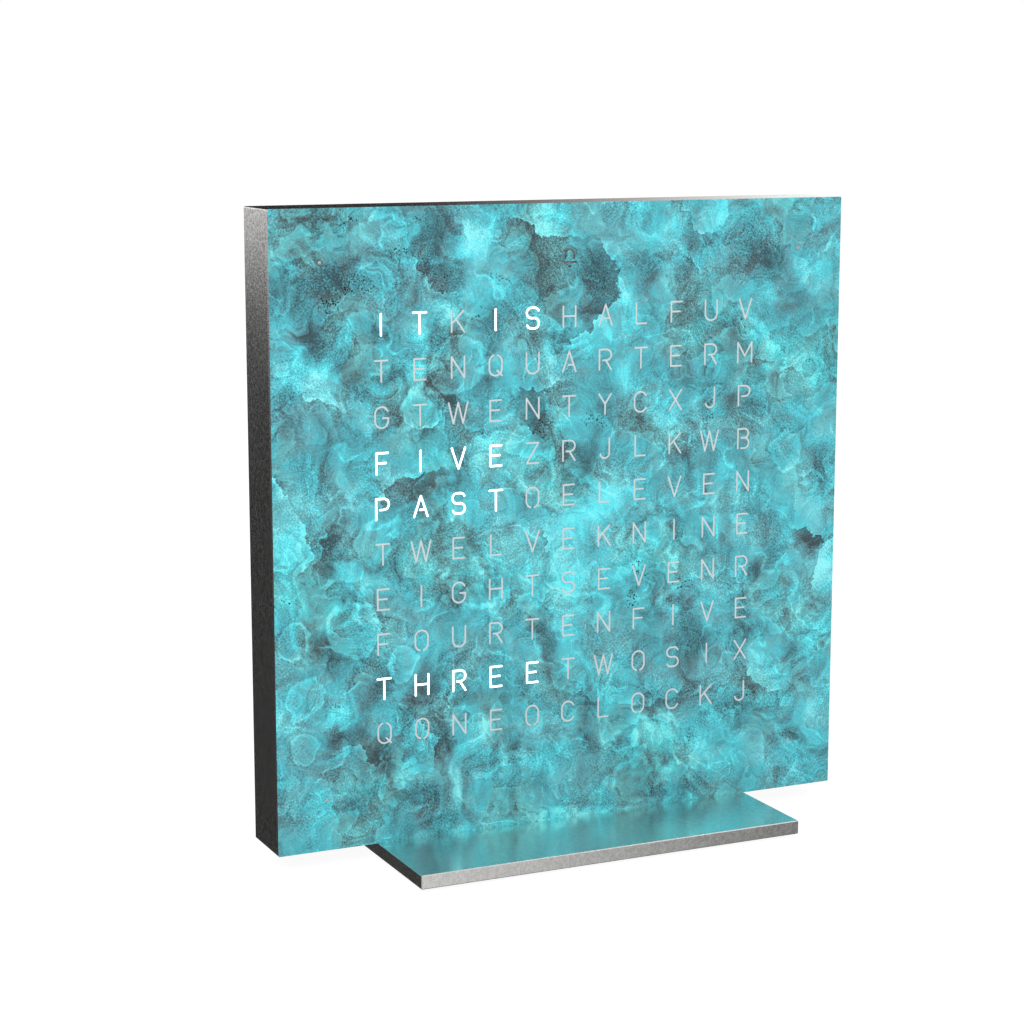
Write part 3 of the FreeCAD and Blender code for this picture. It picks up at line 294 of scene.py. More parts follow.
# The patina's broad clouds: a line in mm from the face's left edge and mm from its top to a second
# such place, the cloud's radius about that line, and how much lighter the cloud is.
PATINA_CLOUDS = (
    # Upper left, dark.
    (37, 1, 37, 11, 4.2, -0.9), (1, 1, 14, 1, 3.0, -0.45), (16, 11, 12, 18, 3.2, -0.8),
    (1, 15, 3, 18, 3.0, -0.5), (36, 15, 45, 15, 2.0, -0.6), (59, 9, 63, 20, 4.6, -1.0),
    (72, 11, 75, 19, 3.6, -0.8), (71, 24, 76, 22, 2.0, -0.5), (9, 24, 13, 30, 3.4, -0.6),
    (18, 23, 26, 28, 2.6, -0.5), (47, 23, 50, 28, 2.6, -0.5), (57, 27, 65, 29, 2.2, -0.6),
    (36, 26, 44, 29, 2.2, -0.5), (36, 34, 39, 40, 3.0, -0.9), (17, 33, 18, 37, 3.2, -0.55),
    (41, 43, 46, 46, 2.8, -0.6), (58, 43, 61, 48, 3.2, -0.9), (29, 58, 38, 58, 2.6, -1.1),
    (10, 48, 14, 60, 4.0, -0.35), (65, 52, 74, 56, 4.0, -0.6), (3, 39, 4, 47, 3.4, -0.4),
    (46, 36, 48, 40, 2.4, -0.4),
    # Upper left, light.
    (42, 8, 47, 7, 2.8, 1.0), (41, 11, 52, 4, 4.5, 0.5), (45, 19, 52, 14, 4.0, 0.45),
    (36, 21, 40, 22, 1.8, 0.7), (4, 33, 11, 35, 3.0, 0.9), (12, 37, 19, 41, 2.6, 0.6),
    (31, 24, 34, 29, 2.0, 0.8), (33, 32, 31, 38, 2.2, 0.5), (53, 26, 53, 38, 2.2, 0.6),
    (3, 24, 4, 31, 3.2, 0.4), (18, 42, 23, 44, 3.0, 0.6), (56, 35, 65, 35, 2.4, 0.45),
    (46, 50, 58, 54, 3.0, 0.5), (56, 2, 67, 3, 3.0, 0.5), (41, 62, 50, 64, 3.6, 0.4),
    # Upper right, dark.
    (85, 13, 87, 18, 2.8, -0.5), (96, 15, 97, 27, 2.8, -0.7), (97, 7, 98, 10, 2.2, -0.4),
    (109, 12, 120, 13, 4.2, -0.8), (106, 27, 112, 32, 2.8, -0.6), (107, 41, 111, 49, 3.6, -0.8),
    (82, 43, 86, 49, 3.0, -0.7), (94, 36, 102, 42, 3.0, -0.35), (118, 25, 124, 21, 3.2, -0.45),
    (131, 60, 131, 64, 1.6, -0.4), (96, 44, 97, 63, 1.4, -0.35),
    # Upper right, light.
    (81, 18, 83, 25, 2.4, 1.0), (70, 30, 82, 27, 3.2, 0.8), (78, 34, 80, 39, 3.0, 0.6),
    (81, 8, 94, 7, 3.4, 0.6), (100, 5, 107, 2, 2.6, 0.6), (122, 13, 130, 17, 3.2, 0.6),
    (111, 27, 119, 33, 2.4, 0.8), (121, 36, 128, 36, 2.4, 0.45), (129, 20, 130, 21, 2.0, 0.4),
    (117, 21, 118, 23, 2.4, 0.5), (70, 66, 82, 64, 3.6, 0.5), (90, 47, 95, 50, 3.4, 0.4),
    (126, 50, 131, 47, 0.9, 0.7), (107, 59, 109, 64, 1.8, 0.4),
    # Lower left, dark.
    (14, 66, 11, 74, 2.4, -1.0), (9, 88, 13, 96, 2.4, -0.9), (22, 103, 25, 99, 2.6, -0.6),
    (31, 106, 35, 99, 2.8, -0.9), (12, 112, 17, 110, 2.4, -0.9), (20, 111, 25, 118, 1.8, -1.0),
    (37, 108, 37.5, 119, 1.8, -1.1), (38, 80, 41, 85, 2.8, -0.6), (36, 66, 37, 77, 2.2, -0.5),
    (44, 69, 46, 72, 1.8, -0.7), (61, 90, 63, 95, 2.4, -0.9), (62, 97, 64, 104, 2.2, -0.8),
    (28, 124, 38, 127, 3.0, -0.5), (54, 117, 55, 118, 2.2, -0.5), (21, 74, 26, 76, 2.0, -0.5),
    (46, 81, 50, 81, 1.6, -0.5), (43, 104, 56, 105, 3.0, -0.4), (12, 118, 33, 117, 3.2, -0.35),
    (50, 128, 56, 134, 3.0, -0.35), (34, 130, 36, 134, 2.0, -0.5),
    # Lower left, light.
    (3, 66, 5, 72, 3.4, 1.0), (2, 77, 4, 83, 3.0, 0.6), (67, 69, 67, 99, 4.0, 0.7),
    (80, 63, 64, 71, 4.0, 0.7), (76, 74, 74, 90, 4.0, 0.35), (43, 85.5, 53, 84, 0.8, 1.1),
    (45, 95, 56, 97.5, 0.7, 0.8), (41, 119, 41.5, 131, 1.2, 0.9), (40, 112, 50, 112, 2.0, 0.5),
    (56, 121, 61, 123, 2.0, 0.5), (13, 106, 14, 108, 2.2, 0.7), (1, 105, 4, 108, 2.4, 0.5),
    (38, 78, 39, 77, 0.9, 1.0), (46, 77, 47, 79, 2.0, 0.6), (16, 77, 26, 79, 2.2, 0.5),
    (56, 78, 64, 78, 2.8, 0.5), (31, 112, 33, 118, 2.6, 0.4), (29, 119, 31, 122, 2.0, 0.4),
    # Lower right, dark.
    (126, 76, 130, 79, 1.8, -1.1), (113, 83, 115, 83, 2.6, -1.0), (96, 87, 99, 92, 2.6, -0.6),
    (96, 95, 98, 107, 3.8, -0.6), (111, 90, 111, 102, 2.8, -0.75), (100, 96, 103, 102, 3.0, -0.5),
    (124, 101, 126, 107, 2.4, -0.6), (106, 113, 111, 115, 2.4, -0.8), (113, 109, 116, 114, 1.8, -0.9),
    (86, 111, 90, 113, 2.2, -0.7), (71, 107, 74, 112, 3.0, -0.6), (70, 117, 74, 120, 3.0, -0.6),
    (84, 124, 88, 124, 2.4, -0.5), (97, 118, 99, 123, 1.8, -0.6), (120, 123, 126, 122, 1.6, -0.7),
    (85, 131, 94, 134, 3.2, -0.6), (109, 118, 112, 120, 2.6, -0.45), (72, 84, 74, 97, 2.4, -0.35),
    # Lower right, light.
    (133, 79, 133, 88, 2.8, 1.2), (82, 76, 85, 90, 3.0, 0.6), (85, 115, 93, 119, 3.6, 0.8),
    (99, 120, 105, 128, 3.0, 0.6), (130, 116, 131, 120, 1.8, 0.7), (115, 101, 118, 107, 2.8, 0.5),
    (103, 86, 105, 90, 2.4, 0.4), (92, 89, 94, 91, 1.6, 0.8), (129, 95, 131, 102, 2.6, 0.4),
    (79, 100, 82, 108, 2.4, 0.4), (127, 68, 132, 74, 3.6, 0.4), (104, 67, 104, 74, 1.6, 0.4),
    (93, 77, 93, 84, 1.8, 0.5), (103, 114, 106, 117, 2.0, 0.5), (20, 135, 115, 135, 2.0, 0.6),
)
# Edges of crusts, from a place in mm as above to a second one: how far each side reaches in mm, and
# how strong it is. The lighter side lies to the left on the way. Each is drawn in painted highlight and
# shade.
PATINA_EDGES = (
    (55, 3.5, 60, 5.6, 3.5, 1.1), (60, 5.6, 68.5, 6.8, 4.0, 1.3), (24, 61.5, 27, 57, 3.0, 1.2),
    (27, 57, 31.5, 55.3, 3.5, 1.4), (31.5, 55.3, 41, 55, 3.0, 0.7), (6, 36.8, 14, 40.5, 3.0, 1.2),
    (14, 40.5, 20.5, 42, 2.5, 0.8), (3.6, 59.6, 2.4, 56.4, 2.5, 1.2), (2.4, 56.4, -1, 55, 2.5, 1.2),
    (7, 74.5, 8.8, 70, 3.0, 1.5), (8.8, 70, 5.5, 64.2, 3.0, 1.4), (8.5, 75.5, 13.2, 65.5, 3.5, 1.0),
    (56, 40.5, 62, 40.2, 3.0, 1.0), (62, 40.2, 66.5, 38, 3.0, 1.1), (60.5, 50.6, 55.5, 46.5, 2.5, 1.0),
    (50, 45, 45, 49, 2.2, 0.9), (31, 46.6, 36, 45, 2.6, 0.9), (36, 45, 38, 41.5, 2.8, 1.1),
    (38, 41.5, 35.5, 38, 2.6, 0.8), (40.5, 18.4, 35, 15.8, 2.4, 1.1), (35, 15.8, 31.3, 10.5, 2.4, 1.1),
    (79.5, 20.5, 74, 25, 3.4, 1.3), (74, 25, 66, 31, 3.4, 1.2), (75, 8.5, 78.5, 13, 3.0, 1.1),
    (78.5, 13, 79.3, 20, 3.0, 1.1), (94, 0, 97.5, 4.8, 2.4, 0.9), (97.5, 4.8, 101.5, 7, 2.4, 1.1),
    (101.5, 7, 107, 3, 2.4, 0.7), (94.5, 11.5, 99.5, 14, 2.6, 1.0), (111.5, 35.4, 120, 35.6, 2.4, 0.9),
    (120, 35.6, 117, 29, 2.4, 0.9), (108, 25.5, 114, 30.5, 2.4, -0.9),
    (120.2, 34, 120.2, 38.7, 2.4, 0.8), (120, 38.7, 126, 39.1, 2.4, 0.8),
    (35.4, 118.5, 36, 113.5, 2.4, 1.3), (36, 113.5, 30, 107, 2.4, 1.1),
    (23.5, 117, 19, 113.4, 2.6, 1.1), (19, 113.4, 13, 114.2, 2.6, 0.9),
    (38.4, 103, 39.8, 110.5, 2.4, 1.1), (19.5, 121, 28, 123, 2.0, 0.8),
    (62.4, 68.5, 62.2, 75.5, 2.4, 1.0), (18.4, 80, 23, 86, 1.8, -0.8), (23, 86, 24.6, 90, 1.8, -0.9),
    (24.6, 90, 27.2, 98, 1.8, -0.7), (26.8, 101, 30, 106, 1.6, 0.7), (46, 76, 48.4, 80.5, 1.8, 0.7),
    (135.5, 76.5, 131.4, 79.4, 3.0, 1.3), (131.4, 79.4, 129.8, 89.5, 3.0, 1.4),
    (124, 73.8, 129, 76, 2.6, 1.2), (129, 76, 132, 79.6, 2.6, 1.2), (124.8, 65, 124.4, 73.5, 2.6, 0.6),
    (97, 84, 106, 82.6, 2.4, 0.8), (106, 82.6, 115.5, 87, 2.6, 0.8), (110, 103.5, 117, 110, 2.8, 0.9),
    (117, 110, 123.5, 116.2, 2.8, 1.1), (81, 111, 92.5, 111.4, 2.4, 0.9),
    (92.5, 111.4, 95.5, 108.5, 2.0, 0.9), (96, 111, 106, 109, 2.2, 0.6), (65, 105, 75, 109.5, 2.4, 0.8),
    (119, 94.5, 125.5, 91, 2.4, 0.6), (112.5, 116, 105.5, 114.5, 2.2, 0.8),
    (44, 122, 49, 124, 1.8, 0.5), (122, 54.5, 131, 47, 2.4, -0.6), (114.6, 60.5, 114.5, 54, 2.2, 0.7),
)
# An edge's painted light and shade, from its dark side, at 0, through a thin painted highlight at the
# edge, to its light side, at 1.
EDGE_PROFILE = (
    (0.0, -0.1), (0.3, -0.4), (0.488, -0.8), (0.512, 1.2), (0.55, 0.9), (0.6, 0.4), (1.0, 0.1),
)
# How many times its radius a cloud reaches before it has faded out.
CLOUD_SPREAD = 1.5
# Round marks that drops have left, with a painted shadow just outside: mm from the left, mm from the
# top and radius in mm.
PATINA_RINGS = (
    (41.5, 33.5, 6.0), (4.5, 89.5, 4.0), (17.5, 87.5, 6.0), (34.0, 42.0, 5.0), (6.5, 101.5, 4.6),
    (6.5, 112.5, 3.2), (28.0, 96.0, 3.4), (122.0, 57.0, 4.2),
)
# Clusters of black pits: mm from the left and from the top, half width and half height in mm, and
# how thick they are.
PATINA_PITS = (
    (17, 2.5, 3, 2, 1.1), (13, 20, 5, 4, 1.0), (20, 16, 5, 3.5, 1.0), (29, 9, 2, 1.5, 1.1),
    (45, 22, 1.5, 1.5, 1.2), (62, 48, 3.5, 4, 1.1), (73, 17, 4, 5, 0.85), (74, 47, 4, 3.5, 0.9),
    (102, 48, 2, 2, 1.0), (85, 82, 3, 3.5, 1.1), (84, 87, 2.5, 3, 1.15), (95, 84.5, 2, 1.5, 1.0),
    (123, 122.5, 4, 1.5, 0.9), (51, 16, 4, 2.5, 0.9), (38, 13.5, 6, 1.5, 0.9), (114, 112, 2.5, 3, 0.95),
    (2.5, 80.5, 2.5, 1.2, 0.9), (13, 104, 1.5, 1.5, 1.1), (97.5, 120, 1.6, 3, 0.9),
    (31.5, 2.5, 1.2, 1.2, 1.1),
)
# Broad parts that are lighter or darker: rows as those of the pits.
PATINA_TONES = (
    (22, 20, 28, 26, -0.4), (67, 116, 26, 26, 0.4), (67, 67, 26, 26, 0.2), (112, 115, 24, 24, 0.2),
    (22, 115, 24, 24, -0.05),
)
# Broad parts where small detail is stronger or weaker: rows as those of the pits.
PATINA_DEPTHS = ((20, 20, 28, 28, 0.18), (114, 50, 22, 44, -0.2), (60, 60, 24, 30, 0.08))
# Where water has run down, and how strongly: rows as those of the pits.
PATINA_RUNS = ((98, 66, 22, 60, 0.5), (62, 120, 40, 16, 0.7), (20, 50, 12, 20, 0.3))


def puddle(near, rim):
    """A dried puddle where near is 0 at its middle and 1 at its edge.

    Inside it is near^5 times rim plus a plain share, and just outside it is a little dark: a painted
    shadow beyond the rim.
    """
    inside = near.ease(1.05, 0.95)
    # The dark just outside the rim is painted shadow.
    return inside * (near.power(5.0) * rim + 0.35) - (1.0 - inside) * near.ease(1.0, 1.4, 0.5, 0.0)


def lobes(graph, place, scale, reach, rim, seed):
    """Dried puddles scattered by cells, with scale cells to the unit.

    A cell holds one where its own random number allows it, with a radius of up to reach of a cell.
    It fades out away from the side that the cell's own random direction points to.
    """
    moved = graph.scaled(place, (1.0, 1.0, 1.0), (seed, seed * 1.7, 0.0))
    distance, random, middle = graph.cells(moved, scale, scatter=0.9, voronoi_dimensions="2D")
    chance, size, _ = graph.parts(random)
    radius = size * (reach * 0.55) + reach * 0.45
    outward = graph.joined("SUBTRACT", moved, middle)
    aim = graph.scaled(random, (2.0, 2.0, 0.0), (-1.0, -1.0, 0.0))
    facing = graph.dot(outward, aim) * scale / radius
    return puddle(distance / radius, rim) * chance.ease(0.2, 0.45) * facing.ease(-0.5, 0.5)


def coast(height, sharpness, rim):
    """Terraces of a height: each step brightens up to its edge and drops to a painted shadow beyond it.
    """
    step = height.math("FRACT")
    crest = step.power(sharpness) * step.ease(1.0, 0.9) * rim
    # The dark just beyond each step's edge is painted shadow.
    return crest - (1.0 - step).power(sharpness * 1.4) * rim * 0.6


def on_face(left, top):
    """A place on the face in cm from its middle, from mm from its left edge and its top."""
    half = FACE_SIDE / MM / 2
    return np.array(((left - half) / 10, (half - top) / 10, 0.0))


def from_mark(graph, place, left, top, wide, high):
    """The distance from a mark's middle, 1 at its half width wide and half height high.

    left, top, wide and high are in mm, from the face's upper left corner.
    """
    spread = np.array((10 / wide, 10 / high, 0.0))
    return graph.length(graph.scaled(place, tuple(spread), tuple(-on_face(left, top) * spread)))


def blots(graph, place, marks):
    """The sum of soft round marks, each given by left, top, half width, half height and strength."""
    return total(
        from_mark(graph, place, left, top, wide, high).ease(0.35, 1.3, strength, 0.0)
        for left, top, wide, high, strength in marks
    )


def clouds(graph, place):
    """The sum of the patina's clouds: soft long spots, each as high as its strength in its middle."""
    light = 0.0
    for left, top, next_left, next_top, reach, strength in PATINA_CLOUDS:
        start = on_face(left, top)
        along = on_face(next_left, next_top) - start
        turn = math.atan2(along[1], along[0])
        high = reach / 10 * CLOUD_SPREAD
        wide = np.linalg.norm(along) / 2 + high
        spot = graph.fade(place, "SPHERICAL", start + along / 2, turn, wide, high)
        light = spot.math("MULTIPLY_ADD", strength, light)
    return light


def edges(graph, place):
    """The crusts' edges: a step in the film's own tone, with a thin painted highlight at the rim, a
    light side that fades away and a painted shaded side that fades too.
    """
    light = 0.0
    for left, top, next_left, next_top, reach, strength in PATINA_EDGES:
        start = on_face(left, top)
        along = on_face(next_left, next_top) - start
        middle = start + along / 2
        turn = math.atan2(along[1], along[0])
        across = np.array((-math.sin(turn), math.cos(turn), 0.0))
        unit = reach / 10
        side = graph.fade(place, "LINEAR", middle - across * unit, turn + math.pi / 2, unit * 2, 1.0)
        step = graph.profile(side, [(spot, height * strength) for spot, height in EDGE_PROFILE])
        near = graph.fade(place, "SPHERICAL", middle, turn, np.linalg.norm(along) / 2 + unit, unit)
        light = step.math("MULTIPLY_ADD", near, light)
    return light


# The film's tones from its darkest to its brightest, where it is thin and where it is chalky.
VIVID = (
    (56, 82, 91), (67, 113, 121), (78, 146, 157), (85, 180, 192), (89, 205, 217), (101, 235, 246),
    (128, 252, 255),
)
MILKY = (
    (66, 78, 84), (80, 108, 114), (94, 140, 149), (102, 174, 184), (111, 199, 209), (127, 229, 238),
    (150, 248, 253),
)
# The light from the first tone to the last.
TONE_SPAN = 6.0
# What multiplies the film's colour where it is greenest.
GREENEST = (0.99, 1.0, 0.945, 1.0)
PIT_BLACK = colour(30, 26, 26)
BARE_STEEL = colour(225, 223, 220)
# The grain is turned by the angle with this cosine and sine.
GRAIN_COSINE = 0.83
GRAIN_SINE = 0.56
TO_CM = 100.0


def patina():
    """Verdigris on the face: torn clouds with crusted rims in painted highlight and shade, rings,
    streaks, veins, pits and grain.

    light is worked out in steps of the patina's own spread of brightness, 0 being its middle.
    The plate's edges and the walls of its letters stay bare steel. Places are in cm.
    """
    graph = new_finish("verdigris_patina")
    x, y, z = graph.parts(graph.place())
    face = graph.vector(x * TO_CM, (z - FACE_MIDDLE) * TO_CM, 0.0)

    # Places torn about coarsely, finely and raggedly.
    bent = graph.warped(face, 0.9, 0.5, 2.0, 0.5)
    torn = graph.warped(bent, 3.0, 0.26, 4.0, 0.6)
    ragged = graph.warped(graph.warped(face, 1.8, 0.7, 3.0, 0.6), 6.0, 0.22, 3.0, 0.7)

    # The large forms, held back where they add up.
    broad = clouds(graph, ragged) * 1.45 + edges(graph, ragged)
    broad = broad / (broad.size() * 0.2 + 1.0)

    # Smoke and mottle, stronger in rough patches, and puddles with their rings, each with a painted
    # shadow just outside.
    swirled = graph.warped(graph.warped(face, 0.7, 1.9, 2.0, 0.5), 2.4, 0.4, 3.0, 0.5)
    smoke = graph.noise(graph.scaled(swirled, (1.2, 0.8, 0.0)), 0.8, 6.0, 0.68, sheet=True) - 0.5
    mottle = graph.noise(graph.warped(swirled, 6.0, 0.2, 2.0, 0.5), 2.6, 5.0, 0.68, sheet=True) - 0.5
    puddles = (
        lobes(graph, torn, 0.8, 0.45, 1.3, 7.7) * 0.8
        + lobes(graph, torn, 1.5, 0.45, 1.1, 12.9) * 0.7
        + lobes(graph, torn, 3.1, 0.45, 1.0, 19.3) * 0.6
    )
    for left, top, radius in PATINA_RINGS:
        puddles = puddles + puddle(from_mark(graph, torn, left, top, radius, radius), 1.6)

    # Shores of thin layers over each other, each with a painted shadow just beyond its edge, and folds
    # drawn as a thin painted highlight with a painted shadow beside it.
    shore = graph.noise(torn, 0.8, 3.0, 0.45, sheet=True) * 4.0 + broad * 0.2
    where = graph.noise(face, 0.45, 2.0, 0.5, sheet=True).ease(0.45, 0.58)
    rough_patch = graph.noise(bent, 0.8, 3.0, 0.6, sheet=True).ease(0.36, 0.64)
    fine = smoke * 4.3 + mottle * (rough_patch * 2.6 + 3.3) + puddles * 0.8
    fold = graph.noise(swirled, 1.1, 3.0, 0.5, sheet=True) - 0.5
    folded = graph.noise(bent, 0.55, 2.0, 0.5, sheet=True).ease(0.42, 0.56)
    # Painted light and shade of a raised fold on the flat film: a thin highlight and a shadow beside
    # it.
    crest = (
        fold.ease(0.0, 0.006) * fold.ease(0.05, 0.006) * 1.2
        - fold.ease(0.0, -0.006) * fold.ease(-0.06, -0.006)
    )
    fine = fine * (blots(graph, face, PATINA_DEPTHS) + 1.0) + crest * folded * 0.6
    light = broad * 2.1 + fine + coast(shore, 4.0, 1.3) * where
    light = light + blots(graph, face, PATINA_TONES) - 0.15

    # Veins, and streaks where water has run down.
    vein = (graph.noise(torn, 0.6, 2.0, 0.4, sheet=True) - 0.5).size()
    vein_where = graph.noise(bent, 1.1, 2.0, 0.5, sheet=True).ease(0.5, 0.6)
    run = graph.noise(graph.scaled(torn, (3.4, 0.3, 0.0)), 1.0, 4.0, 0.6, sheet=True) - 0.5
    light = light + vein.ease(0.0, 0.014, 1.5, 0.0) * vein_where
    light = light + run * blots(graph, face, PATINA_RUNS) * 5.0

    # Grain, stronger in rough patches and in the dark.
    slanted = graph.vector(
        x * (TO_CM * GRAIN_COSINE) + z * (TO_CM * GRAIN_SINE),
        z * (TO_CM * GRAIN_COSINE) - x * (TO_CM * GRAIN_SINE), 0.0,
    )
    grain = graph.noise(slanted, 25.0, 2.0, 0.9, sheet=True) - 0.5
    light = light + grain * (rough_patch * 5.2 + 2.8 - light * 0.6)

    # Colours.
    share = light / TONE_SPAN + 0.5
    vivid = graph.ramp(share, VIVID)
    milky = graph.ramp(share, MILKY)
    chalk = graph.noise(torn, 0.9, 4.0, 0.7, sheet=True).ease(0.4, 0.62)
    skin = graph.mix(chalk, vivid, milky)
    green = graph.noise(bent, 0.45, 3.0, 0.6, sheet=True).ease(0.46, 0.66)
    skin = graph.mix(green, skin, GREENEST, "MULTIPLY")

    # Pits.
    depth, random, _ = graph.cells(graph.warped(face, 9.0, 0.08), 19.0, voronoi_dimensions="2D")
    size = graph.parts(random)[0]
    eaten = (blots(graph, ragged, PATINA_PITS) + mottle * 2.0 + size - 1.3).clamped()
    skin = graph.mix(eaten * 2.0 * depth.ease(0.45, 0.2), skin, PIT_BLACK)

    bare = graph.facing_y().ease(-0.7, -0.5)
    return graph.finish({
        "Base Color": graph.mix(bare, skin, BARE_STEEL),
        "Metallic": bare,
        "Roughness": bare * -0.35 + 0.6,
        "Specular IOR Level": 0.2,
        "Normal": graph.bump(grain, 0.02 * MM),
    })


def satin_steel(name, shade, roughness, relief=0.02, fleck=0.5):
    """Blasted steel: fine flecks, relief mm deep and darker by fleck, on a slightly cloudy gloss."""
    graph = new_finish(name)
    place = graph.place()
    grain = graph.noise(place, 1300.0, 2.0, 0.9)
    cloud = graph.noise(place, 70.0, 4.0, 0.6)
    base = colour(*shade)
    return graph.finish({
        "Base Color": graph.mix(grain.ease(0.3, 0.7), shaded(base, 1.0 - fleck), base),
        "Metallic": 1.0,
        "Roughness": (cloud - 0.5) * 0.03 + (grain - 0.5) * 0.1 + roughness,
        "Normal": graph.bump(grain, relief * MM),
    })


def moulded_plastic(name, shade, roughness, texture=0.3, relief=0.02, pebbles=1800.0):
    """Moulded plastic with a fine spark-eroded texture, relief mm deep, pebbles to the metre."""
    graph = new_finish(name)
    place = graph.place()
    pebble = graph.noise(place, pebbles, 2.0, 0.6)
    blotch = graph.noise(place, 90.0, 3.0, 0.6)
    base = colour(*shade)
    return graph.finish({
        "Base Color": graph.mix(blotch, base, shaded(base, 1.35, 0.002)),
        "Roughness": (pebble - 0.5) * texture + roughness,
        "Normal": graph.bump(pebble, relief * MM),
    })


TIN = colour(206, 208, 208)
GOLD = colour(226, 186, 104)
EPOXY = colour(22, 22, 24)
METAL_ROUGHNESS = 0.28


def small_part(name, body, metal, draw, roughness=0.4):
    """A small electronic part: draw gives the share that is metal and the coats over the body.

    draw(graph, x, y, up) works in metres, and up counts from the middle of the face.
    """
    graph = new_finish(name)
    place = graph.place()
    x, y, z = graph.parts(place)
    bright, coats = draw(graph, x, y, z - FACE_MIDDLE)
    speck = graph.noise(place, 2600.0, 2.0, 0.6)
    paint = graph.painted(graph.mix(speck, shaded(body, 0.8), body), *coats)
    return graph.finish({
        "Base Color": graph.mix(bright, paint, metal),
        "Metallic": bright,
        "Roughness": bright * (METAL_ROUGHNESS - roughness) + (speck - 0.5) * 0.15 + roughness,
        "Normal": graph.bump(speck, 0.006 * MM),
    })


def middle_of(name):
    """A solid's middle, sideways and upwards from the middle of the face."""
    low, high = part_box(name)
    return (low[0] + high[0]) / 2, (low[2] + high[2]) / 2 - FACE_MIDDLE


def about(name):
    """A function that counts places from a solid's middle."""
    middle_x, middle_up = middle_of(name)
    return lambda x, up: (x - middle_x, up - middle_up)


def about_letter(x, up):
    """The place about the nearest diode of a letter: the columns hold the middle, the rows don't."""
    return x.wrapped(COLUMN_PITCH), (up - ROW_PITCH / 2).wrapped(ROW_PITCH)


def about_dot(x, up):
    """The place about the nearest minute dot, mirrored into one quarter."""
    return x.size() - DOT_OFFSET, up.size() - DOT_OFFSET


# A diode, from its middle: its window, its cut corner, and where its contacts start and end.
WINDOW_RADIUS = 1.2 * MM
CORNER_CUT = 2.75 * MM
CONTACT_ACROSS = 1.3 * MM
CONTACT_FRONT = 1.5 * MM
# A chip: the edge that its leads start beyond, and the dimple by its first lead.
BODY_MARGIN = 0.02 * MM
DIMPLE_INSET = 0.9 * MM
DIMPLE_RADIUS = 0.35 * MM


def diode(name, near):
    """A white package with a round yellow window and a bright contact at each end."""

    def draw(graph, x, y, up):
        across, along = near(x, up)
        window = graph.radius(across, along).below(WINDOW_RADIUS)
        corner = (across * -1.0 - along).above(CORNER_CUT)
        contact = across.size().above(CONTACT_ACROSS) * (y * -1.0).below(CONTACT_FRONT)
        return contact, ((corner, colour(196, 190, 170)), (window, colour(238, 205, 74)))

    return small_part(name, colour(236, 234, 224), TIN, draw, 0.35)


def chip(name, near, half_wide, half_high):
    """Black epoxy with a dimple by its first lead, and tinned leads all outside the body."""

    def draw(graph, x, y, up):
        across, along = near(x, up)
        body = graph.within(across, along, half_wide + BODY_MARGIN, half_high + BODY_MARGIN)
        dimple = graph.radius(across + (half_wide - DIMPLE_INSET), along - (half_high - DIMPLE_INSET))
        return 1.0 - body, ((dimple.below(DIMPLE_RADIUS), colour(58, 58, 60)),)

    return small_part(name, EPOXY, TIN, draw, 0.45)


# The board's print. About each diode on its front: two level rails, a plated hole on an upright
# track, and the pads under the diode. Then the pitch and half width of the tracks on its rear.
RAIL_UP = 2.6 * MM
HALF_RAIL = 0.3 * MM
HOLE_ACROSS = 2.9 * MM
HOLE_UP = 3.7 * MM
HALF_UPRIGHT = 0.15 * MM
HALF_PADS = (2.2 * MM, 1.0 * MM)
RING_RADIUS = 0.42 * MM
BORE_RADIUS = 0.2 * MM
TRACK_PITCH = 0.9 * MM
HALF_TRACK = 0.14 * MM
# White outlines round the chips: half width and half height in mm, and half the line's width.
CONTROLLER_OUTLINE = (5.2, 5.2)
DRIVER_OUTLINE = (4.5, 3.9)
REGULATOR_OUTLINE = (2.8, 3.9)
HALF_OUTLINE = 0.09 * MM
# Where those chips stand.
DRIVER_ACROSS = 22 * MM
DRIVER_UP = 14 * MM
REGULATOR_ACROSS = 14 * MM
REGULATOR_DOWN = 46 * MM


def about_driver(x, up):
    """The place about the nearer driver chip, mirrored into one half."""
    return x.size() - DRIVER_ACROSS, up - DRIVER_UP


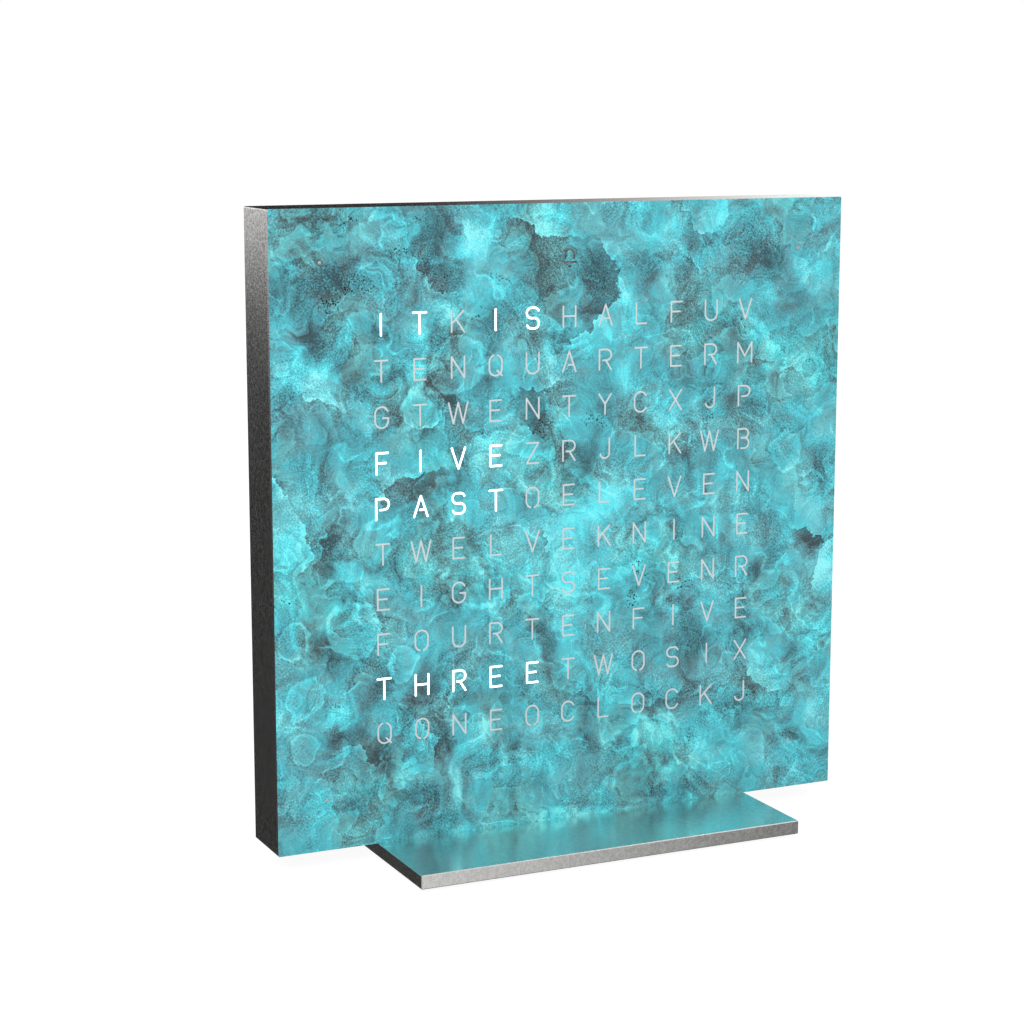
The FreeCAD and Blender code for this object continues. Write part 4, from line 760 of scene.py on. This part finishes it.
def circuit_board():
    """Green solder mask over copper tracks, with pads for the diodes and bare glass at the edges.

    The rear's tracks run upright or level by the block of the board that they are in.
    """
    graph = new_finish("circuit_board")
    place = graph.place()
    x, y, z = graph.parts(place)
    up = z - FACE_MIDDLE
    across, along = about_letter(x, up)
    front = y.below(0.0)
    rear = 1.0 - front
    field = graph.within(x, up, COLUMN_PITCH * COLUMNS / 2, ROW_PITCH * ROWS / 2)

    rail = (along.size() - RAIL_UP).size().below(HALF_RAIL)
    upright_track = (across - HOLE_ACROSS).size().below(HALF_UPRIGHT)
    front_tracks = rail.most(upright_track) * front * field
    flat = graph.scaled(place, (1.0, 0.0, 1.0))
    block = graph.cells(flat, 70.0, scatter=0.7, distance="CHEBYCHEV")[1]
    way, fill, _ = graph.parts(block)
    upright = way.below(0.5)
    rear_line = x.wrapped(TRACK_PITCH) * upright + up.wrapped(TRACK_PITCH) * (1.0 - upright)
    rear_tracks = rear_line.size().below(HALF_TRACK) * fill.below(0.75) * rear
    tracks = front_tracks.most(rear_tracks)

    hole = graph.radius(across - HOLE_ACROSS, along - HOLE_UP)
    pads = graph.within(across, along, *HALF_PADS) * front * field
    copper = pads.most(hole.below(RING_RADIUS) * field)
    # The bore is painted near black: painted shade inside the hole.
    bore_shade = hole.below(BORE_RADIUS) * field
    outline = None
    for from_chip, from_chip_up, (half_wide, half_high) in (
        (x, up, CONTROLLER_OUTLINE),
        (*about_driver(x, up), DRIVER_OUTLINE),
        (x - REGULATOR_ACROSS, up + REGULATOR_DOWN, REGULATOR_OUTLINE),
    ):
        box = (from_chip.size() - half_wide * MM).most(from_chip_up.size() - half_high * MM)
        line = box.size().below(HALF_OUTLINE)
        outline = line if outline is None else outline.most(line)
    outline = outline * rear

    weave = graph.noise(place, 1500.0, 2.0, 0.5)
    side = 1.0 - graph.facing_y().size().above(0.5)
    mask = graph.mix(weave, colour(10, 46, 30), colour(16, 58, 38))
    return graph.finish({
        "Base Color": graph.painted(
            mask, (tracks, colour(30, 92, 58)), (outline, colour(222, 226, 218)),
            (copper, GOLD), (bore_shade, colour(8, 9, 8)), (side, colour(150, 152, 96)),
        ),
        "Metallic": (copper - bore_shade).clamped() * (1.0 - side),
        "Roughness": side * 0.4 + (weave - 0.5) * 0.1 + 0.3,
        "Normal": graph.bump(tracks.most(outline) + weave * 0.2, 0.02 * MM),
    })


# On the coin cell: its groove's radius and fading, and the plus's half line and reach.
GROOVE_RADIUS = 8.6 * MM
GROOVE_FADE = 0.25 * MM
HALF_PLUS_LINE = 0.25 * MM
PLUS_REACH = 1.5 * MM


def turned_steel():
    """The coin cell: a can brushed in rings, with a groove at its rim painted darker as shade, and a
    plus on its flat.
    """
    graph = new_finish("turned_steel")
    x, y, z = graph.parts(graph.place())
    across, up = about("coin_cell")(x, z - FACE_MIDDLE)
    radius = graph.radius(across, up)
    angle = up.math("ARCTAN2", across)
    rings = graph.noise(graph.vector(radius * 9000.0, angle * 1.6, 0.0), 1.0, 3.0, 0.6)
    groove_and_shade = (radius - GROOVE_RADIUS).size().ease(0.0, GROOVE_FADE, 1.0, 0.0)
    stem = graph.within(across, up, HALF_PLUS_LINE, PLUS_REACH)
    plus = stem.most(graph.within(across, up, PLUS_REACH, HALF_PLUS_LINE))
    return graph.finish({
        "Base Color": graph.painted(
            graph.mix(rings, colour(176, 177, 175), colour(222, 222, 219)),
            # The groove is painted half way to dark grey: painted shade in the groove.
            (groove_and_shade * 0.5, colour(90, 90, 90)), (plus, colour(112, 112, 112)),
        ),
        "Metallic": 1.0,
        "Roughness": rings * 0.2 + 0.2,
        "Normal": graph.bump(rings * 0.15 - groove_and_shade - plus, 0.03 * MM),
    })


# The marks: how far below the buttons, half a line's width, half their height and half widths.
MARK_DROP = 3.4 * MM
HALF_LINE = 0.16 * MM
HALF_MARK = 1.15 * MM
HALF_RING = 1.0 * MM
HALF_H = 0.8 * MM
HALF_M = 1.0 * MM
HALF_BELL = 0.8 * MM
# The M's slope, how far its middle hangs down and half its stroke's height.
M_SLOPE = 1.3
M_DROP = 0.2 * MM
M_STROKE = 0.26 * MM
# The bell: where its dome ends and how far its walls reach down, then its brim and clapper.
DOME_FOOT = 0.25 * MM
HALF_WALL = 0.5 * MM
BRIM_DROP = 0.75 * MM
CLAPPER_DROP = 1.25 * MM
CLAPPER_RADIUS = 0.24 * MM


def hour_mark(graph, across, up):
    across = across.size()
    posts = graph.within(across - HALF_H, up, HALF_LINE, HALF_MARK)
    return posts.most(graph.within(across, up, HALF_H, HALF_LINE))


def minute_mark(graph, across, up):
    across = across.size()
    posts = graph.within(across - HALF_M, up, HALF_LINE, HALF_MARK)
    slope = up - across * M_SLOPE + M_DROP
    return posts.most(graph.within(across - HALF_M / 2, slope, HALF_M / 2, M_STROKE))


def alarm_mark(graph, across, up):
    ring = (graph.radius(across, up - DOME_FOOT) - HALF_BELL).size().below(HALF_LINE)
    dome = ring * up.above(DOME_FOOT)
    walls = graph.within(across.size() - HALF_BELL, up + DOME_FOOT, HALF_LINE, HALF_WALL)
    brim = graph.within(across, up + BRIM_DROP, HALF_MARK, HALF_LINE)
    clapper = graph.radius(across, up + CLAPPER_DROP).below(CLAPPER_RADIUS)
    return dome.most(walls).most(brim).most(clapper)


def rear_paint():
    """Textured black paint, with a plain pale mark below each button: a ring, H, M and a bell."""
    graph = new_finish("rear_black_paint")
    place = graph.place()
    x, y, z = graph.parts(place)
    up = z - (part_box("mode_button")[0][2] - MARK_DROP)
    ring = (graph.radius(x - middle_of("mode_button")[0], up) - HALF_RING).size().below(HALF_LINE)
    hour = hour_mark(graph, x - middle_of("hour_button")[0], up)
    minute = minute_mark(graph, x - middle_of("minute_button")[0], up)
    alarm = alarm_mark(graph, x - middle_of("alarm_button")[0], up)
    marks = ring.most(hour).most(minute).most(alarm)

    orange_peel = graph.noise(place, 520.0, 3.0, 0.55)
    speck = graph.noise(place, 2400.0, 2.0, 0.7)
    wear = graph.noise(place, 60.0, 4.0, 0.6)
    paint = graph.mix(speck.ease(0.35, 0.65), colour(20, 21, 22), colour(38, 39, 41))
    return graph.finish({
        "Base Color": graph.mix(marks, paint, colour(196, 198, 198)),
        "Roughness": (wear - 0.5) * 0.12 + (speck - 0.5) * 0.2 + 0.5,
        "Normal": graph.bump(orange_peel + speck * 0.25, 0.05 * MM),
    })


# The glow of the lit words, and a painted glow of the sheet in a round patch behind each minute dot,
# whose diode is off.
WORD_GLOW = 3.0
PAINTED_DOT_GLOW = 0.45
PAINTED_DOT_RADIUS = 2.0 * MM


def cell_mask(graph, x, up, row, first, last):
    """1 within the cells first to last of a row of letters, 0 elsewhere."""
    middle_x = ((first + last) / 2 - (COLUMNS + 1) / 2) * COLUMN_PITCH
    middle_up = ((ROWS + 1) / 2 - row) * ROW_PITCH
    half_wide = (last - first + 1) / 2 * COLUMN_PITCH
    return graph.within(x - middle_x, up - middle_up, half_wide, ROW_PITCH / 2)


def letter_sheet():
    """The frosted sheet behind the letters: it glows in the cells of the lit words, with a painted glow
    behind each unlit minute dot.
    """
    graph = new_finish("frosted_letter_sheet")
    place = graph.place()
    x, y, z = graph.parts(place)
    up = z - FACE_MIDDLE
    lit = total(cell_mask(graph, x, up, *word) for word in LIT_WORDS)
    frost = graph.noise(place, 900.0, 3.0, 0.6)
    # A painted glow lights the sheet behind each minute dot, though its diode is off.
    painted_dot_patch = graph.radius(*about_dot(x, up)).below(PAINTED_DOT_RADIUS)
    return graph.finish({
        "Base Color": graph.mix(frost, colour(200, 209, 212), colour(220, 231, 234)),
        "Roughness": frost * 0.2 + 0.45,
        # The second colour is the tint of the painted glow behind the minute dots.
        "Emission Color": graph.mix(painted_dot_patch, colour(232, 242, 255), colour(255, 238, 230)),
        "Emission Strength": lit * WORD_GLOW + painted_dot_patch * PAINTED_DOT_GLOW,
    })


def dress(finish, *names):
    """Gives the named solids a finish."""
    for name in names:
        solid = nodes[name]
        if not solid.material_slots:
            solid.data.materials.append(finish)
        for slot in solid.material_slots:
            slot.material = finish


# Half widths and half heights of the chips' bodies.
HALF_CONTROLLER = (3.5 * MM, 3.5 * MM)
HALF_DRIVER = (3.9 * MM, 2.2 * MM)
HALF_REGULATOR = (2.2 * MM, 2.2 * MM)
# The capacitors' pitch, and where their tinned ends start from the middle of each.
CAPACITOR_PITCH = 4.0 * MM
CAPACITOR_END = 0.62 * MM
# Where the bare lids of the crystal and of the switches start, along Y.
CRYSTAL_LID = 1.25 * MM
SWITCH_LID = 2.3 * MM
# The inlet's contacts: pitch, half width, spread, and where they start and end in depth.
CONTACT_PITCH = 0.5 * MM
HALF_CONTACT = 0.13 * MM
CONTACT_SPREAD = 3.1 * MM
CONTACT_DEPTHS = (2.6 * MM, 5.6 * MM)
# The ring on the buzzer's top.
BUZZER_RING = 3.0 * MM
HALF_BUZZER_LINE = 0.15 * MM


def dress_electronics():
    """The board and what stands on it."""
    dress(circuit_board(), "led_board")
    dress(diode("letter_diode", about_letter), "letter_leds")
    dress(diode("corner_diode", about_dot), "minute_leds")
    dress(diode("alarm_diode", about("alarm_led")), "alarm_led")
    dress(chip("controller_epoxy", about("controller_chip"), *HALF_CONTROLLER), "controller_chip")
    dress(chip("driver_epoxy", about_driver, *HALF_DRIVER), "driver_chips")
    dress(chip("regulator_epoxy", about("regulator_chip"), *HALF_REGULATOR), "regulator_chip")

    def capacitor_ends(graph, x, y, up):
        """Both rows have their middle at DRIVER_ACROSS."""
        return (x.size() - DRIVER_ACROSS).wrapped(CAPACITOR_PITCH).size().above(CAPACITOR_END), ()

    def crystal_lid(graph, x, y, up):
        return y.above(CRYSTAL_LID), ()

    def switch_lid(graph, x, y, up):
        return y.above(SWITCH_LID), ()

    def tongue_contacts(graph, x, y, up):
        contact = x.wrapped(CONTACT_PITCH).size().below(HALF_CONTACT) * x.size().below(CONTACT_SPREAD)
        start, end = CONTACT_DEPTHS
        return contact * y.above(start) * y.below(end), ()

    def buzzer_ring(graph, x, y, up):
        across, along = about("alarm_buzzer")(x, up)
        ring = (graph.radius(across, along) - BUZZER_RING).size().below(HALF_BUZZER_LINE)
        return 0.0, ((ring, colour(70, 70, 72)),)

    dress(small_part("capacitor", colour(176, 142, 100), TIN, capacitor_ends, 0.35), "capacitors")
    dress(small_part("crystal_can", colour(214, 206, 186), TIN, crystal_lid), "clock_crystal")
    dress(small_part("push_switch", EPOXY, TIN, switch_lid), "switch_bodies")
    dress(small_part("inlet_tongue", EPOXY, GOLD, tongue_contacts), "usb_tongue")
    dress(small_part("buzzer_shell", EPOXY, TIN, buzzer_ring), "alarm_buzzer")
    dress(turned_steel(), "coin_cell")


def dress_all():
    bright_steel = satin_steel("bright_steel", (215, 215, 212), 0.2, relief=0.002, fleck=0.15)
    stand_steel = satin_steel("stand_steel", (255, 254, 251), 0.23, relief=0.012, fleck=0.2)
    black_oxide = satin_steel("black_oxide", (58, 58, 61), 0.35, relief=0.004, fleck=0.3)
    button_grey = moulded_plastic("button_grey", (70, 72, 76), 0.42, 0.25, 0.012, 1500.0)
    dress(patina(), "face_plate")
    dress(letter_sheet(), "letter_diffuser")
    dress(satin_steel("blasted_steel", (252, 251, 249), 0.19), "housing_frame")
    dress(stand_steel, "stand_plate", "stand_bar")
    dress(bright_steel, "usb_shell", "cell_clip", "corner_posts")
    dress(moulded_plastic("black_plastic", (30, 31, 33), 0.5), "light_baffle", "cell_holder")
    dress(rear_paint(), "rear_cover")
    dress(black_oxide, "clamp_screws", "stand_screws")
    for use in ("mode", "hour", "minute", "alarm"):
        dress(button_grey, f"{use}_button", f"{use}_plunger")
    dress(moulded_plastic("pad_rubber", (28, 28, 28), 0.75), "foot_pads")
    dress_electronics()


# Boxes of light that only show in reflections, by directions in degrees, with +Y at 0 and +X at 90:
# the middle, half the width, lower and upper edge, blurs of the level and upright edges, brightness.
SOFT_BOXES = (
    (-47.0, 42.0, -3.0, 90.0, 2.5, 5.0, 1.07),
    (82.8, 52.0, -12.0, 90.0, 4.0, 8.5, 0.75),
    (41.9, 11.4, -12.0, 13.0, 4.0, 8.5, 1.17),
    (178.6, 26.0, -45.0, 90.0, 4.0, 6.0, 0.73),
    (-128.0, 26.0, -45.0, 90.0, 4.0, 10.0, 0.35),
)
# What else shows in reflections, by height in degrees: from, to, and the light at each.
CEILING = (25.0, 45.0, 0.0, 0.2)
DIM_GROUND = (-1.0, 4.0, 0.038, 0.008)
# The light from all sides that shows in no reflection.
PLAIN_LIGHT = 0.68


def studio_world():
    """White to the camera, plain light on every surface, and soft boxes in reflections."""
    world = bpy.data.worlds.new("studio")
    bpy.context.scene.world = world
    world.cycles.sampling_method = "NONE"
    graph = Graph(world)
    x, y, z = graph.parts(graph.output("ShaderNodeTexCoord", "Generated"))
    degrees = 180 / math.pi
    azimuth = x.math("ARCTAN2", y) * degrees
    elevation = z.math("ARCSINE") * degrees

    def soft_box(centre, half_width, low, high, blur, side_blur, strength):
        across = (azimuth - centre).size()
        across = across.least(360.0 - across).ease(half_width + side_blur, half_width - side_blur)
        up = elevation.ease(low - blur, low + blur) * elevation.ease(high + blur, high - blur)
        return across * up * strength

    ceiling = elevation.ease(*CEILING)
    dim_ground = elevation.ease(*DIM_GROUND)
    mirrored = total(soft_box(*box) for box in SOFT_BOXES) + ceiling + dim_ground
    path = graph.node("ShaderNodeLightPath")
    camera_ray = Signal(graph, path.outputs["Is Camera Ray"])
    glossy_ray = Signal(graph, path.outputs["Is Glossy Ray"])
    indirect = glossy_ray * mirrored + (1.0 - glossy_ray) * PLAIN_LIGHT
    strength = camera_ray + (1.0 - camera_ray) * indirect
    light = {"Color": (1.0, 1.0, 1.0, 1.0), "Strength": strength}
    shader = graph.output("ShaderNodeBackground", "Background", light)
    graph.node("ShaderNodeOutputWorld", {"Surface": shader})


# Half the floor's side, its glow, and the share of light it returns to the camera and elsewhere.
HALF_FLOOR = 3.0
FLOOR_GLOW = 0.93
SEEN_SHARE = 0.14
BOUNCED_SHARE = 0.9


def studio_floor():
    """A plain white floor that keeps only a faint trace of the clock's shadow."""
    half = HALF_FLOOR
    corners = [(-half, -half, 0), (half, -half, 0), (half, half, 0), (-half, half, 0)]
    mesh = bpy.data.meshes.new("floor")
    mesh.from_pydata(corners, [], [(0, 1, 2, 3)])
    floor = bpy.data.objects.new("floor", mesh)
    bpy.context.collection.objects.link(floor)
    floor.visible_glossy = False
    graph = new_finish("floor_white")
    camera_ray = graph.output("ShaderNodeLightPath", "Is Camera Ray")
    glow = graph.output("ShaderNodeEmission", "Emission", {"Strength": camera_ray * FLOOR_GLOW})
    share = camera_ray.ease(0.0, 1.0, BOUNCED_SHARE, SEEN_SHARE)
    white = graph.mix(share, (0, 0, 0, 1), (1, 1, 1, 1))
    paint = graph.output("ShaderNodeBsdfDiffuse", "BSDF", {"Color": white})
    both = graph.output("ShaderNodeAddShader", "Shader", {0: glow, 1: paint})
    graph.node("ShaderNodeOutputMaterial", {"Surface": both})
    mesh.materials.append(graph.owner)


def lamp(name, place, aim, side, power):
    """A square soft lamp at place, turned to aim, that shows in no reflection."""
    data = bpy.data.lights.new(name, "AREA")
    data.size = side
    data.energy = power
    made = bpy.data.objects.new(name, data)
    bpy.context.collection.objects.link(made)
    made.location = place
    towards = np.array(aim) - np.array(place)
    tilt = math.atan2(math.hypot(towards[0], towards[1]), -towards[2])
    made.rotation_euler = (tilt, 0.0, math.atan2(towards[1], towards[0]) - math.pi / 2)
    made.visible_glossy = False


# The camera's place, how far it looks down and is turned, in degrees, and its lens in mm.
CAMERA_PLACE = (-0.22683, -0.46727, 0.16257)
LOOKS_DOWN = 10.005
TURNED = -24.88
LENS = 84.59
SENSOR_WIDTH = 36.0


def camera():
    data = bpy.data.cameras.new("camera")
    data.sensor_width = SENSOR_WIDTH
    data.lens = LENS
    made = bpy.data.objects.new("camera", data)
    bpy.context.collection.objects.link(made)
    made.location = CAMERA_PLACE
    made.rotation_euler = (math.radians(90 - LOOKS_DOWN), 0.0, math.radians(TURNED))
    bpy.context.scene.camera = made


# The lamps' aim and side.
AIM = (0, 0, 0.07)
LAMP_SIDE = 0.8

camera()
dress_all()
studio_world()
studio_floor()
lamp("key", (-0.6, -0.9, 0.9), AIM, LAMP_SIDE, power=7.5)
lamp("fill", (0.7, 0.8, 0.8), AIM, LAMP_SIDE, power=5.0)
bpy.context.scene.view_settings.view_transform = "Standard"
